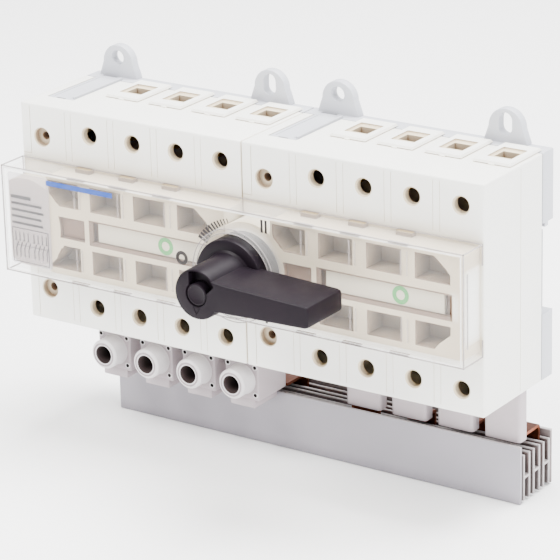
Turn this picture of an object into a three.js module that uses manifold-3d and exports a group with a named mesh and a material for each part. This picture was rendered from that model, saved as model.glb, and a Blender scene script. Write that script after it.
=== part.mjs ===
// Manual transfer switch: two four-pole switches side by side, one rotary handle, positions I - 0 - II.
// Millimetres, +X along the row of poles, +Y towards the mounting rail, +Z up.
// The design frame has its zero at the lower left front corner of the first case. The exported
// group moves it so that the row origin is the point of the rail seat behind the handle's axis.
import * as THREE from "three";
import { mergeVertices } from "three/addons/utils/BufferGeometryUtils.js";
import Module from "manifold-3d";

const wasm = await Module();
wasm.setup();

// ---- driving dimensions -------------------------------------------------------------------
const GAP = 0.3; // clearance between touching pieces
const SWITCH_PITCH = 108; // width of one switch, six 18 mm modules
const EDGE = 0.15; // each case stops this far from its module line
const HEIGHT = 92;
const CASE_DEPTH = 43.5; // terminal face to the case's rear edge
const WALL = 2.5;
const FRONT_WALL = 3;
const NOSE = { bottom: 26.6, top: 67.4, front: -12.3, left: 21, right: 106 };
const NOSE_SKIN = 2;
const POCKET_DEPTH = 10.5;
const POCKET_FLOOR = 1.5;
const END_RECESS = { r: 17.2, right: 39.4, depth: 1.8 }; // beside the turret, in line with the flag
const TURRET = { x: 10.5, r: 18.6, cut: 2 }; // round end of the nose, about the handle's axis

const POLES = ["L1", "L2", "L3", "N"];
const FIRST_POLE = 34.5;
const POLE_PITCH = 21.2;
const poleX = (k) => FIRST_POLE + POLE_PITCH * k;
const ROWS = { top: 82.5, bottom: 9.7 }; // heights of the clamping screws
const SCREW_HOLE = 3.2; // radius of the holes in front of the clamping screws
const ENTRY = { y: 34, halfX: 3.75, halfY: 3.5 }; // cable entry above and below each terminal
const ENTRY_FRAME = { half: 8, front: 22, rear: 45.9, rise: 1.2 };
const PANEL_BORE = { x: 10.5, zs: [13.8, 78.5], wide: 3.7, narrow: 1.7, post: 5.5, step: 2.5 };

const AXIS = { x: 118.5, z: 46 }; // the handle's turning axis, along Y
const BASE_INNER = 41; // front of the base plate inside the case
const RAIL_SEAT = 44; // the face that lies against the rail
const BASE_REAR = 52;
const RAIL_SLOT = { bottom: 27.2, top: 64 };
const CLAW = { front: 45.5, rear: 48, reach: 2.2 };
const CLIP = { x: 54, half: 8, neck: 5, tail: -4, claw: 29.4 };
const LUG = { half: 9.5, crown: 7.5, top: 105.5, thick: 4, round: 13.4, slotted: 89 };
const SNAP_ARM = { x0: 5.3, x1: 17.9, front: 11.6, thick: 2.2 };

const COVER = { left: 0.2, right: 215.8, bottom: 24.6, top: 69.4, front: -14.6, wall: 1.5, rear: -0.4 };
const COLLAR = { inner: 16.8, outer: 18.8, front: -22.6, hole: 16 };

const HUB = { r: 15.3, rear: -12.9, front: -25.7 };
const BOSS = { r: 10, front: -46.5 };
const LEVER = { tip: 168.6, rear: -23, topRoot: 52.1, topTip: 50.4, bottomRoot: 40.6, bottomTip: 41.6 };
const PLUNGER = { r: 4.4, front: -46.2, rear: -36, bore: -29 };
const RECESS = { left: -3.3, r: 9.3, from: 0.61, to: 0.155, low: [4.2, 0.5], floor: -42.7 };

const SHAFT = { r: 3, front: -24.4, rear: 42, bore: 3.15 };
const GEAR = { module: 0.75, teeth: 12, angle: (25 * Math.PI) / 180, backlash: 0.1, front: 8.4, rear: 13.6 };
const PITCH_R = (GEAR.module * GEAR.teeth) / 2;
const HALF_TURN = Math.PI / 2; // the handle turns this far each way
const TRAVEL = PITCH_R * HALF_TURN; // and each carriage slides this far

const CARRIAGE = { front: 8, rear: 14, left: 25, right: 98 };
const RACK_STEP = 0.5; // the racks stop this far in front of the other carriage's blades
const BLADE = { half: 0.75, front: 13.8, rear: 26, bottom: 38, top: 54 };
const BLADE_OFFSET = 2 * BLADE.half + GAP + TRAVEL; // open blade to its fixed contact
const FLAG = { left: 45, right: 97, front: -10.2, rear: -8.6, bottom: 43, top: 50.8, stem: [77, 84.4] };
const WINDOW = { left: 43, right: 100.5, bottom: 42.7, top: 51.1, lip: -10.5, slide: [37.4, 104.6] };

const SLEEVE = { r: 6.15, bore: 3.45, front: 2.5, z: -11.5 };
const ADAPTER = { half: 8, front: 10, rear: 29.6, bottom: -20, foot: -23.3, footHalf: 6, footRear: 26 };
const ADAPTER_SCREW = { x: 6.5, zs: [-5.6, -17.4], r: 0.9, depth: 3 };

const RAIL = { left: 22.9, right: 216, front: 27, rear: 52, bottom: -45.9, top: -21.9, skin: 1.4 };
const RIB_PAIRS = [[29.6, 33.9], [37.3, 41.6], [44.9, 49.2]]; // H-shaped dividers of the busbar housing
const RIB = { thick: 1, top: -26, web: -35.5, floorEnd: 4 };
const BAR_LAYERS = [32.3, 39.9, 43.8, 47.6]; // one layer of the comb per pole
const BAR = { half: 0.8, top: -27.5, bottom: -34.6, prong: 0.6, runHalf: 6.5, run: -21.2, tip: 12 };
const PRONG_HALF = 2.5;
const TONGUE = { half: 8, front: 30, rear: 35, bottom: -21.6, corner: 1.6 };

const ROUND = 16; // facets of a round hole or pin
const FINE = 32; // facets of the large round forms
const COARSE = 10; // facets of small hidden rounds

// ---- materials ----------------------------------------------------------------------------
const material = (color, roughness, metalness = 0, opacity = 1) =>
  new THREE.MeshStandardMaterial({ color, roughness, metalness, opacity, transparent: opacity < 1 });
const WHITE = material(0xe6e6e0, 0.5);
const GREY = material(0xd0d2d6, 0.5);
const RAIL_GREY = material(0xb8b6bc, 0.5);
const WARM_GREY = material(0xc8c0c2, 0.5);
const DARK = material(0x2b2832, 0.4);
const CLEAR = material(0xf0ece8, 0.08, 0, 0.3);
const PAPER = material(0xe8e2e4, 0.6);
const CREAM = material(0xcdc3af, 0.5);
const BRASS = material(0xc9a55a, 0.35, 0.9);
const ZINC = material(0x8c8a86, 0.35, 0.9);
const COPPER = material(0xb5713f, 0.35, 0.95);
const STEEL = material(0xa8a8aa, 0.3, 0.95);

// ---- solids -------------------------------------------------------------------------------
function solid(geometry) {
  const bare = geometry.clone();
  bare.deleteAttribute("normal");
  bare.deleteAttribute("uv");
  const merged = mergeVertices(bare, 1e-4);
  return new wasm.Manifold(
    new wasm.Mesh({
      numProp: 3,
      vertProperties: new Float32Array(merged.attributes.position.array),
      triVerts: new Uint32Array(merged.index.array),
    }),
  );
}

function block(x0, x1, y0, y1, z0, z1) {
  const g = new THREE.BoxGeometry(x1 - x0, y1 - y0, z1 - z0);
  g.translate((x0 + x1) / 2, (y0 + y1) / 2, (z0 + z1) / 2);
  return solid(g);
}

function rodY(x, z, r, y0, y1, facets = ROUND) {
  const g = new THREE.CylinderGeometry(r, r, y1 - y0, facets);
  g.translate(x, (y0 + y1) / 2, z);
  return solid(g);
}

function rodZ(x, y, r, z0, z1, facets = ROUND) {
  const g = new THREE.CylinderGeometry(r, r, z1 - z0, facets);
  g.rotateX(Math.PI / 2);
  g.translate(x, y, (z0 + z1) / 2);
  return solid(g);
}

// An outline drawn in X and Z, made solid from y0 to y1.
function plateY(shape, y0, y1, curveSegments = 6) {
  const g = new THREE.ExtrudeGeometry(shape, { depth: y1 - y0, bevelEnabled: false, curveSegments });
  g.rotateX(Math.PI / 2);
  g.translate(0, y1, 0);
  return solid(g);
}

const join = (parts) => parts.reduce((a, b) => a.add(b));
const cut = (body, tools) => tools.reduce((a, b) => a.subtract(b), body);
const outline = (points) => new THREE.Shape(points.map(([x, z]) => new THREE.Vector2(x, z)));

const root = new THREE.Group();

function place(parent, name, body, finish) {
  const { vertProperties, triVerts } = body.getMesh();
  const g = new THREE.BufferGeometry();
  g.setAttribute("position", new THREE.BufferAttribute(vertProperties, 3));
  g.setIndex(new THREE.BufferAttribute(triVerts, 1));
  g.computeVertexNormals();
  const mesh = new THREE.Mesh(g, finish);
  mesh.name = name;
  parent.add(mesh);
}

// The straight way of a cable from z0 to z1 behind the pole at x.
const entryWay = (x, z0, z1) =>
  block(x - ENTRY.halfX, x + ENTRY.halfX, ENTRY.y - ENTRY.halfY, ENTRY.y + ENTRY.halfY, z0, z1);

// ---- case: the white front moulding of one switch -------------------------------------------
function pockets() {
  // Recesses of the nose: the last pocket of each row has one corner cut off.
  const columns = [[22.5, 36.8], [43.3, 57.9], [64.7, 79.4], [85.9, 100.5]];
  const floor = NOSE.front + POCKET_DEPTH;
  const tools = [];
  for (const [low, high, sign] of [[56, 65.7, 1], [29.7, 39, -1]]) {
    columns.forEach(([x0, x1], i) => {
      const points = [[x0, low], [x1, low], [x1, high], [x0, high]];
      if (i === 3 && sign > 0) points.splice(2, 1, [x1, high - 6], [x1 - 7, high]);
      if (i === 3 && sign < 0) points.splice(1, 1, [x1 - 7, low], [x1, low + 6]);
      tools.push(plateY(outline(points), NOSE.front - 1, floor));
    });
  }
  const round = rodY(TURRET.x, AXIS.z, TURRET.r, NOSE.front - 2, 0, FINE);
  const end = block(
    TURRET.x, END_RECESS.right,
    NOSE.front - 1, NOSE.front + END_RECESS.depth,
    WINDOW.bottom, WINDOW.top,
  );
  return [
    ...tools.map((tool) => tool.subtract(round)),
    end.subtract(rodY(TURRET.x, AXIS.z, END_RECESS.r, NOSE.front - 2, 0, FINE)),
  ];
}

function noseSolid(isSecond) {
  const x1 = isSecond ? NOSE.right : SWITCH_PITCH - EDGE;
  const low = isSecond ? EDGE : TURRET.cut;
  const turret = rodY(TURRET.x, AXIS.z, TURRET.r, NOSE.front, 0.5, FINE);
  return join([
    turret.intersect(block(low, TURRET.x + TURRET.r, NOSE.front - 1, 1, 0, HEIGHT)),
    block(NOSE.left, x1, NOSE.front, 0.5, NOSE.bottom, NOSE.top),
  ]);
}

function caseSolid(isSecond) {
  const x0 = EDGE;
  const x1 = SWITCH_PITCH - EDGE;
  const shell = cut(block(x0, x1, 0, CASE_DEPTH, 0, HEIGHT), [
    block(x0 + WALL, x1 - WALL, FRONT_WALL, CASE_DEPTH + 1, WALL, HEIGHT - WALL),
  ]);
  const solids = [shell, noseSolid(isSecond)];
  for (let k = 0; k < POLES.length; k++) {
    const x = poleX(k) - POLE_PITCH / 2;
    for (const [z0, z1] of [[WALL - 0.2, 22], [HEIGHT - 22, HEIGHT - WALL + 0.2]])
      solids.push(block(x - 0.75, x + 0.75, 2, BASE_INNER - GAP, z0, z1));
    const frame = ENTRY_FRAME;
    const px = poleX(k);
    solids.push(
      block(px - frame.half, px + frame.half, frame.front, frame.rear, HEIGHT + GAP, HEIGHT + frame.rise),
      block(px - frame.half, px + frame.half, frame.front, CASE_DEPTH, HEIGHT - 1, HEIGHT + frame.rise),
    );
  }
  for (const z of PANEL_BORE.zs)
    solids.push(rodY(PANEL_BORE.x, z, PANEL_BORE.post, 2, BASE_INNER - GAP));

  const tools = pockets();
  // Mechanism chamber inside the nose, behind the pockets, and the window for the position flag.
  const chamber = NOSE.front + POCKET_DEPTH + POCKET_FLOOR;
  const { left, right, bottom, top, lip, slide } = WINDOW;
  const hollow = rodY(TURRET.x, AXIS.z, TURRET.r - 3, NOSE.front + NOSE_SKIN + 1, FRONT_WALL + 0.2);
  tools.push(
    hollow.intersect(block(TURRET.cut + 1.5, SWITCH_PITCH, NOSE.front, FRONT_WALL + 1, 0, HEIGHT)),
    block(NOSE.left + 4, NOSE.right - 4, chamber, FRONT_WALL + 0.2, NOSE.bottom + 4, NOSE.top - 4),
    block(left, right, NOSE.front - 1, lip + 0.1, bottom, top),
    block(...slide, lip, FLAG.rear + GAP, bottom, top),
    block(FLAG.stem[0] - 8, FLAG.stem[1] + 8, FLAG.rear, chamber + 0.2, bottom + 1, top - 1),
  );
  for (let k = 0; k < POLES.length; k++) {
    for (const z of Object.values(ROWS)) tools.push(rodY(poleX(k), z, SCREW_HOLE, -1, FRONT_WALL + 1));
    tools.push(entryWay(poleX(k), -1, WALL + 1), entryWay(poleX(k), HEIGHT - WALL - 1, HEIGHT + 3));
  }
  for (const z of PANEL_BORE.zs) {
    tools.push(rodY(PANEL_BORE.x, z, PANEL_BORE.wide, -1, PANEL_BORE.step));
    tools.push(rodY(PANEL_BORE.x, z, PANEL_BORE.narrow, 0, CASE_DEPTH));
  }
  tools.push(
    block(
      SNAP_ARM.x0 - GAP, SNAP_ARM.x1 + GAP,
      SNAP_ARM.front - GAP, CASE_DEPTH + 1,
      HEIGHT - WALL - 0.5, HEIGHT + 7,
    ),
  );
  // The drive racks pass from one switch to the other through the facing side walls.
  const side = isSecond ? [-1, WALL + 1] : [x1 - WALL - 1, SWITCH_PITCH + 1];
  tools.push(block(side[0], side[1], 6, 16, 36.5, 55.5));
  if (isSecond) tools.push(rodY(TURRET.x, AXIS.z, SHAFT.r + 0.4, NOSE.front - 1, 0));
  return cut(join(solids), tools);
}

// ---- base: the grey rear moulding with the rail seat ------------------------------------------
function lugShape(x, slotted) {
  const shape = new THREE.Shape();
  const crown = LUG.top - LUG.crown;
  shape.moveTo(x - LUG.half, HEIGHT - 2);
  shape.lineTo(x + LUG.half, HEIGHT - 2);
  shape.lineTo(x + LUG.half, HEIGHT + 0.5);
  shape.lineTo(x + LUG.crown, crown);
  shape.absarc(x, crown, LUG.crown, 0, Math.PI, false);
  shape.lineTo(x - LUG.half, HEIGHT + 0.5);
  const hole = new THREE.Path();
  if (slotted) {
    hole.absarc(x, 101, 2.95, 0, Math.PI, false);
    hole.absarc(x, 98, 2.95, Math.PI, 2 * Math.PI, false);
  } else {
    hole.absarc(x, 100.2, 2.85, 0, 2 * Math.PI, false);
  }
  shape.holes.push(hole);
  return plateY(shape, BASE_REAR - LUG.thick, BASE_REAR, 6);
}

function baseSolid(isSecond) {
  const x0 = EDGE;
  const x1 = SWITCH_PITCH - EDGE;
  const inset = WALL + GAP;
  const solids = [
    block(x0, x1, CASE_DEPTH + GAP, BASE_REAR, 0, HEIGHT),
    block(x0 + inset, x1 - inset, BASE_INNER, RAIL_SEAT, inset, HEIGHT - inset),
    block(SNAP_ARM.x0, SNAP_ARM.x1, SNAP_ARM.front, CASE_DEPTH + 1, HEIGHT - SNAP_ARM.thick, HEIGHT),
  ];
  for (const [x, slotted] of [[LUG.round, false], [LUG.slotted, true]]) {
    const lug = lugShape(x, slotted);
    solids.push(lug, lug.mirror([0, 0, 1]).translate([0, 0, HEIGHT]));
  }
  const shaftX = AXIS.x - SWITCH_PITCH;
  if (isSecond) solids.push(rodY(shaftX, AXIS.z, 6, BASE_INNER - 5, BASE_INNER + 1));
  const slot = block(-1, SWITCH_PITCH + 1, RAIL_SEAT, BASE_REAR + 1, RAIL_SLOT.bottom, RAIL_SLOT.top);
  // Shallow grooves under the claws: the rail's flat front rests on the land between them.
  const reliefs = [
    [RAIL_SLOT.bottom, CLIP.claw + GAP],
    [RAIL_SLOT.top - CLAW.reach, RAIL_SLOT.top],
  ].map(([z0, z1]) => block(-1, SWITCH_PITCH + 1, RAIL_SEAT - 0.5, RAIL_SEAT + 1, z0, z1));
  const tools = [
    slot,
    ...reliefs,
    // T-shaped groove in which the rail clip slides
    block(CLIP.x - CLIP.half - GAP, CLIP.x + CLIP.half + GAP, CLAW.front - GAP, CLAW.rear + GAP, -20, 30),
    block(CLIP.x - CLIP.neck - GAP, CLIP.x + CLIP.neck + GAP, CLAW.front, BASE_REAR + 1, -20, 30),
  ];
  for (const z of PANEL_BORE.zs) tools.push(rodY(PANEL_BORE.x, z, PANEL_BORE.narrow, 30, BASE_REAR + 1));
  if (isSecond) tools.push(rodY(shaftX, AXIS.z, SHAFT.bore, BASE_INNER - 6, SHAFT.rear + 0.5));
  const body = cut(join(solids), tools);
  // Fixed claw along the top of the slot, behind the rail's flange.
  const claw = block(x0, x1, CLAW.front, CLAW.rear, RAIL_SLOT.top - CLAW.reach + 0.4, RAIL_SLOT.top + 1);
  return body.add(claw);
}

function clipSolid() {
  return join([
    block(CLIP.x - CLIP.half, CLIP.x + CLIP.half, CLAW.front, CLAW.rear, CLIP.tail, CLIP.claw),
    block(CLIP.x - CLIP.neck, CLIP.x + CLIP.neck, CLAW.rear - 0.5, BASE_REAR - GAP, CLIP.tail, 26),
  ]);
}

// ---- terminals -------------------------------------------------------------------------------
function terminalSolid(k, row) {
  const x = poleX(k);
  const z = ROWS[row];
  const [z0, z1] = row === "top" ? [75.5, HEIGHT - WALL - GAP] : [WALL + GAP, 16.5];
  const [s0, s1] = row === "top" ? [51, z0 + 1] : [z1 - 1, 41];
  const body = join([
    block(x - 5.5, x + 5.5, 22, 40, z0, z1),
    block(x - BLADE.half, x + BLADE.half, 15, 25, s0, s1),
  ]);
  return cut(body, [entryWay(x, z0 - 1, z1 + 1), rodY(x, z, 2.4, 20, 32, COARSE)]);
}

function clampScrewSolid(k, row) {
  const z = ROWS[row];
  return join([rodY(poleX(k), z, 2.9, 12, 15.5, COARSE), rodY(poleX(k), z, 2, 15, 29, COARSE)]);
}

// ---- mechanism -------------------------------------------------------------------------------
// Involute of the base circle at radius r: the angle it has turned through.
const involute = (baseR, r) => Math.sqrt((r / baseR) ** 2 - 1) - Math.acos(baseR / r);

function pinionSolid() {
  const baseR = PITCH_R * Math.cos(GEAR.angle);
  const tipR = PITCH_R + GEAR.module;
  const rootR = PITCH_R - 1.25 * GEAR.module;
  const halfAtPitch = (Math.PI * GEAR.module - GEAR.backlash * 2) / (4 * PITCH_R);
  const halfAt = (r) => halfAtPitch + involute(baseR, PITCH_R) - involute(baseR, Math.max(r, baseR));
  const radii = [rootR, baseR, PITCH_R, tipR];
  const points = [];
  for (let i = 0; i < GEAR.teeth; i++) {
    const middle = Math.PI / 2 + (i * 2 * Math.PI) / GEAR.teeth;
    const flank = (r, sign) => {
      const a = middle + sign * halfAt(r);
      return [AXIS.x + r * Math.cos(a), AXIS.z + r * Math.sin(a)];
    };
    for (const r of radii) points.push(flank(r, -1));
    for (const r of [...radii].reverse()) points.push(flank(r, 1));
  }
  const gear = plateY(outline(points), GEAR.front, GEAR.rear);
  return cut(gear, [rodY(AXIS.x, AXIS.z, SHAFT.r + 0.1, GEAR.front - 1, GEAR.rear + 1)]);
}

// A straight rack above (side 1) or below (side -1) the pinion, with a tooth space on its axis.
function rackTeeth(side) {
  const step = Math.PI * GEAR.module;
  const pitchZ = AXIS.z + side * PITCH_R;
  const slope = Math.tan(GEAR.angle);
  const add = GEAR.module * 0.95;
  const ded = GEAR.module * 1.25;
  const half = step / 4 - GEAR.backlash / 2;
  const teeth = [];
  for (let i = -5; i < 5; i++) {
    const x = AXIS.x + (i + 0.5) * step;
    const shape = outline([
      [x - half - slope * ded, pitchZ + side * ded],
      [x - half + slope * add, pitchZ - side * add],
      [x + half - slope * add, pitchZ - side * add],
      [x + half + slope * ded, pitchZ + side * ded],
    ]);
    teeth.push(plateY(shape, CARRIAGE.front, CARRIAGE.rear - RACK_STEP));
  }
  return join(teeth);
}

function carriageSolid(number) {
  // The first carriage has its rack under the pinion and the second has it above.
  const side = number === 1 ? -1 : 1;
  const dx = number === 1 ? 0 : SWITCH_PITCH;
  const back = AXIS.z + side * (PITCH_R + 4);
  const rootLine = AXIS.z + side * (PITCH_R + GEAR.module * 1.2);
  const inner = AXIS.z - side * 2;
  // The second carriage's block stays clear of the pinion at the end of its travel.
  const blockLead = number === 1 ? 3 : 1.5;
  const { front, rear, left, right } = CARRIAGE;
  const span = (a, b) => [Math.min(a, b), Math.max(a, b)];
  const arm = number === 1 ? [right - 1, AXIS.x + 13] : [AXIS.x - 13, dx + left + 1];
  const solids = [
    block(dx + left - blockLead, dx + right, front, rear, ...span(back, inner)),
    block(...arm, front, rear - RACK_STEP, ...span(back, rootLine)),
    rackTeeth(side),
    block(dx + FLAG.left, dx + FLAG.right, FLAG.front, FLAG.rear, FLAG.bottom, FLAG.top),
    block(
      dx + FLAG.stem[0], dx + FLAG.stem[1],
      FLAG.rear - 0.5, front + 1,
      FLAG.bottom + 1.5, FLAG.top - 1.5,
    ),
  ];
  for (let k = 0; k < POLES.length; k++) {
    const x = dx + poleX(k) - BLADE_OFFSET;
    solids.push(block(x - BLADE.half, x + BLADE.half, BLADE.front, BLADE.rear, BLADE.bottom, BLADE.top));
  }
  return join(solids);
}

function shaftSolid() {
  return rodY(AXIS.x, AXIS.z, SHAFT.r, SHAFT.front, SHAFT.rear);
}

function handleSolid() {
  const { tip, rear, topRoot, topTip, bottomRoot, bottomTip } = LEVER;
  const lever = new THREE.Shape();
  lever.moveTo(AXIS.x, topRoot + 1);
  lever.lineTo(AXIS.x + 7, topRoot + 0.6);
  lever.lineTo(AXIS.x + 12, topRoot - 0.1);
  lever.lineTo(tip - 1.5, topTip);
  lever.lineTo(tip, topTip - 1.5);
  lever.lineTo(tip, bottomTip + 1.5);
  lever.lineTo(tip - 1.5, bottomTip);
  lever.lineTo(AXIS.x + 12, bottomRoot);
  lever.lineTo(AXIS.x, bottomRoot - 1);
  const body = join([
    rodY(AXIS.x, AXIS.z, HUB.r, HUB.front, HUB.rear, FINE),
    rodY(AXIS.x, AXIS.z, BOSS.r, BOSS.front, HUB.front + 1, FINE),
    plateY(lever, BOSS.front, rear),
  ]);
  // Recess beside the plunger, open towards the top right of the boss.
  const wedge = new THREE.Shape();
  wedge.moveTo(AXIS.x + RECESS.left, AXIS.z);
  wedge.absarc(AXIS.x, AXIS.z, RECESS.r, Math.PI * RECESS.from, Math.PI * RECESS.to, true);
  wedge.lineTo(AXIS.x + RECESS.low[0], AXIS.z + RECESS.low[1]);
  return cut(body, [
    plateY(wedge, BOSS.front - 1, RECESS.floor),
    rodY(AXIS.x, AXIS.z, PLUNGER.r + GAP, BOSS.front - 1, PLUNGER.bore),
    rodY(AXIS.x, AXIS.z, SHAFT.r + 0.1, SHAFT.front - GAP, HUB.rear + 1),
  ]);
}

function plungerSolid() {
  return rodY(AXIS.x, AXIS.z, PLUNGER.r, PLUNGER.front, PLUNGER.rear);
}

function plungerSpringSolid() {
  // The compression spring behind the plunger, as the sleeve that its coils fill.
  const y0 = PLUNGER.rear + GAP;
  const y1 = PLUNGER.bore - GAP;
  return cut(rodY(AXIS.x, AXIS.z, 3.6, y0, y1), [rodY(AXIS.x, AXIS.z, 2.6, y0 - 1, y1 + 1)]);
}

// ---- cover -----------------------------------------------------------------------------------
function coverSolid() {
  const { left, right, bottom, top, front, wall, rear } = COVER;
  const solids = [
    block(left, right, front, front + wall, bottom, top),
    block(left, right, front, rear, top - wall, top),
    block(left, right, front, rear, bottom, bottom + wall),
    rodY(AXIS.x, AXIS.z, COLLAR.outer, COLLAR.front, front + 1, FINE),
  ];
  for (const x of [left, right - wall]) {
    solids.push(block(x, x + wall, front, rear, 61, top));
    solids.push(block(x, x + wall, front, rear, bottom, 31.5));
    solids.push(block(x, x + wall, front, -11.7, 30, 62));
  }
  const tools = [
    rodY(AXIS.x, AXIS.z, COLLAR.inner, COLLAR.front - 1, front, FINE),
    rodY(AXIS.x, AXIS.z, COLLAR.hole, front - 1, front + 3, FINE),
    block(209, 212, front - 1, front + 3, 42, 52.5),
  ];
  for (const dx of [0, SWITCH_PITCH])
    for (const x of [32.5, 54, 75.1])
      for (const z of [bottom, top])
        tools.push(block(dx + x - 4, dx + x + 4, rear - 3, rear + 1, z - 2, z + 2));
  return cut(join(solids), tools);
}

function labelSolid() {
  // Thin circuit diagram card that lies in the cover's left end.
  return block(2.2, 22.7, COVER.front + COVER.wall + 0.1, NOSE.front - 0.1, 28, 66.5);
}

// ---- cable adapters and busbar ------------------------------------------------------------------
function adapterSolid(k) {
  const x = poleX(k);
  const a = ADAPTER;
  const body = join([
    block(x - a.half, x + a.half, a.front, a.rear, a.bottom, -GAP),
    block(x - a.footHalf, x + a.footHalf, a.front, a.footRear, a.foot, a.bottom + 1),
    rodY(x, SLEEVE.z, SLEEVE.r, SLEEVE.front, a.front + 1, 20),
  ]);
  const tools = [
    rodY(x, SLEEVE.z, SLEEVE.bore, SLEEVE.front - 1, a.footRear),
    rodZ(x, a.front + 12, 2.5, SLEEVE.z, 1, COARSE),
  ];
  for (const sx of [-1, 1])
    for (const z of ADAPTER_SCREW.zs)
      tools.push(
        rodY(x + sx * ADAPTER_SCREW.x, z, ADAPTER_SCREW.r, a.front - 1, a.front + ADAPTER_SCREW.depth, 6),
      );
  return cut(body, tools);
}

function busbarHousingSolid() {
  const { left, right, front, rear, bottom, top, skin } = RAIL;
  const solids = [
    block(left, right, front, front + skin, bottom, top),
    block(left, right, rear - skin, rear, bottom + 0.4, top - 0.9),
    block(left, right - RIB.floorEnd, front + 0.5, rear - 0.5, bottom + 0.4, bottom + 2),
    block(left, left + skin, front + 0.5, rear - 0.5, bottom + 0.4, RIB.top),
  ];
  for (const pair of RIB_PAIRS) {
    for (const y of pair) solids.push(block(left + 0.5, right, y, y + RIB.thick, bottom + 0.8, RIB.top));
    solids.push(block(left + 0.5, right, pair[0] + 0.5, pair[1] + 0.5, RIB.web - 0.5, RIB.web + 0.5));
  }
  return join(solids);
}

function conductorSolid(k) {
  const y = BAR_LAYERS[k];
  const tongueY = (TONGUE.front + TONGUE.rear) / 2;
  const [y0, y1] = [Math.min(y, tongueY) - BAR.prong, Math.max(y, tongueY) + BAR.prong];
  const runTop = BAR.run + 2 * BAR.prong;
  const solids = [block(26, 214.5, y - BAR.half, y + BAR.half, BAR.bottom, BAR.top)];
  for (const dx of [0, SWITCH_PITCH]) {
    // A wide strip rises from the bar, runs forward into the prong cover and narrows to the prong.
    const x = dx + poleX(k);
    solids.push(
      block(x - BAR.runHalf, x + BAR.runHalf, y - BAR.prong, y + BAR.prong, BAR.top - 1, runTop),
      block(x - BAR.runHalf, x + BAR.runHalf, y0, y1, BAR.run, runTop),
      block(x - PRONG_HALF, x + PRONG_HALF, tongueY - BAR.prong, tongueY + BAR.prong, BAR.run, BAR.tip),
    );
  }
  return join(solids);
}

function tongueSolid(k) {
  const { half, front, rear, bottom, corner } = TONGUE;
  const x = poleX(k);
  const shape = new THREE.Shape();
  shape.moveTo(x - half + corner, front);
  shape.lineTo(x + half - corner, front);
  shape.absarc(x + half - corner, front + corner, corner, -Math.PI / 2, 0, false);
  shape.lineTo(x + half, rear);
  shape.lineTo(x - half, rear);
  shape.absarc(x - half + corner, front + corner, corner, Math.PI, 1.5 * Math.PI, false);
  const depth = -GAP - bottom;
  const g = new THREE.ExtrudeGeometry(shape, { depth, bevelEnabled: false, curveSegments: 3 });
  g.translate(0, 0, bottom);
  const y = (front + rear) / 2;
  const slotHalf = PRONG_HALF + GAP;
  const runHalf = BAR.runHalf + GAP;
  const runTop = BAR.run + 2 * BAR.prong + GAP;
  return cut(solid(g), [
    block(x - slotHalf, x + slotHalf, y - BAR.prong - GAP, y + BAR.prong + GAP, bottom - 1, 1),
    block(x - runHalf, x + runHalf, y - BAR.prong - GAP, rear + 1, bottom - 1, runTop),
  ]);
}

// ---- assembly ----------------------------------------------------------------------------------
const assembly = new THREE.Group();
assembly.position.set(-AXIS.x, -RAIL_SEAT, -AXIS.z);
root.add(assembly);

["I", "II"].forEach((number, index) => {
  const unit = new THREE.Group();
  unit.position.set(index * SWITCH_PITCH, 0, 0);
  assembly.add(unit);
  place(unit, `case_${number}`, caseSolid(index === 1), WHITE);
  place(unit, `base_${number}`, baseSolid(index === 1), GREY);
  place(unit, `rail_clip_${number}`, clipSolid(), GREY);
  POLES.forEach((pole, k) => {
    for (const row of Object.keys(ROWS)) {
      place(unit, `terminal_${number}_${pole}_${row}`, terminalSolid(k, row), BRASS);
      place(unit, `clamp_screw_${number}_${pole}_${row}`, clampScrewSolid(k, row), ZINC);
    }
    if (index === 0) place(unit, `cable_adapter_${pole}`, adapterSolid(k), WARM_GREY);
    else place(unit, `prong_cover_${pole}`, tongueSolid(k), WARM_GREY);
  });
  place(assembly, `carriage_${number}`, carriageSolid(index + 1), CREAM);
});

place(assembly, "clear_cover", coverSolid(), CLEAR);
place(assembly, "diagram_card", labelSolid(), PAPER);
place(assembly, "handle", handleSolid(), DARK);
place(assembly, "lock_plunger", plungerSolid(), DARK);
place(assembly, "plunger_spring", plungerSpringSolid(), STEEL);
place(assembly, "handle_shaft", shaftSolid(), STEEL);
place(assembly, "drive_pinion", pinionSolid(), STEEL);
place(assembly, "busbar_housing", busbarHousingSolid(), RAIL_GREY);
POLES.forEach((pole, k) => place(assembly, `busbar_${pole}`, conductorSolid(k), COPPER));

export default root;
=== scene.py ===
"""Looks of the manual transfer switch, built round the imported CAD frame."""
import math

import bmesh
import bpy
from mathutils import Matrix, Vector


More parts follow.
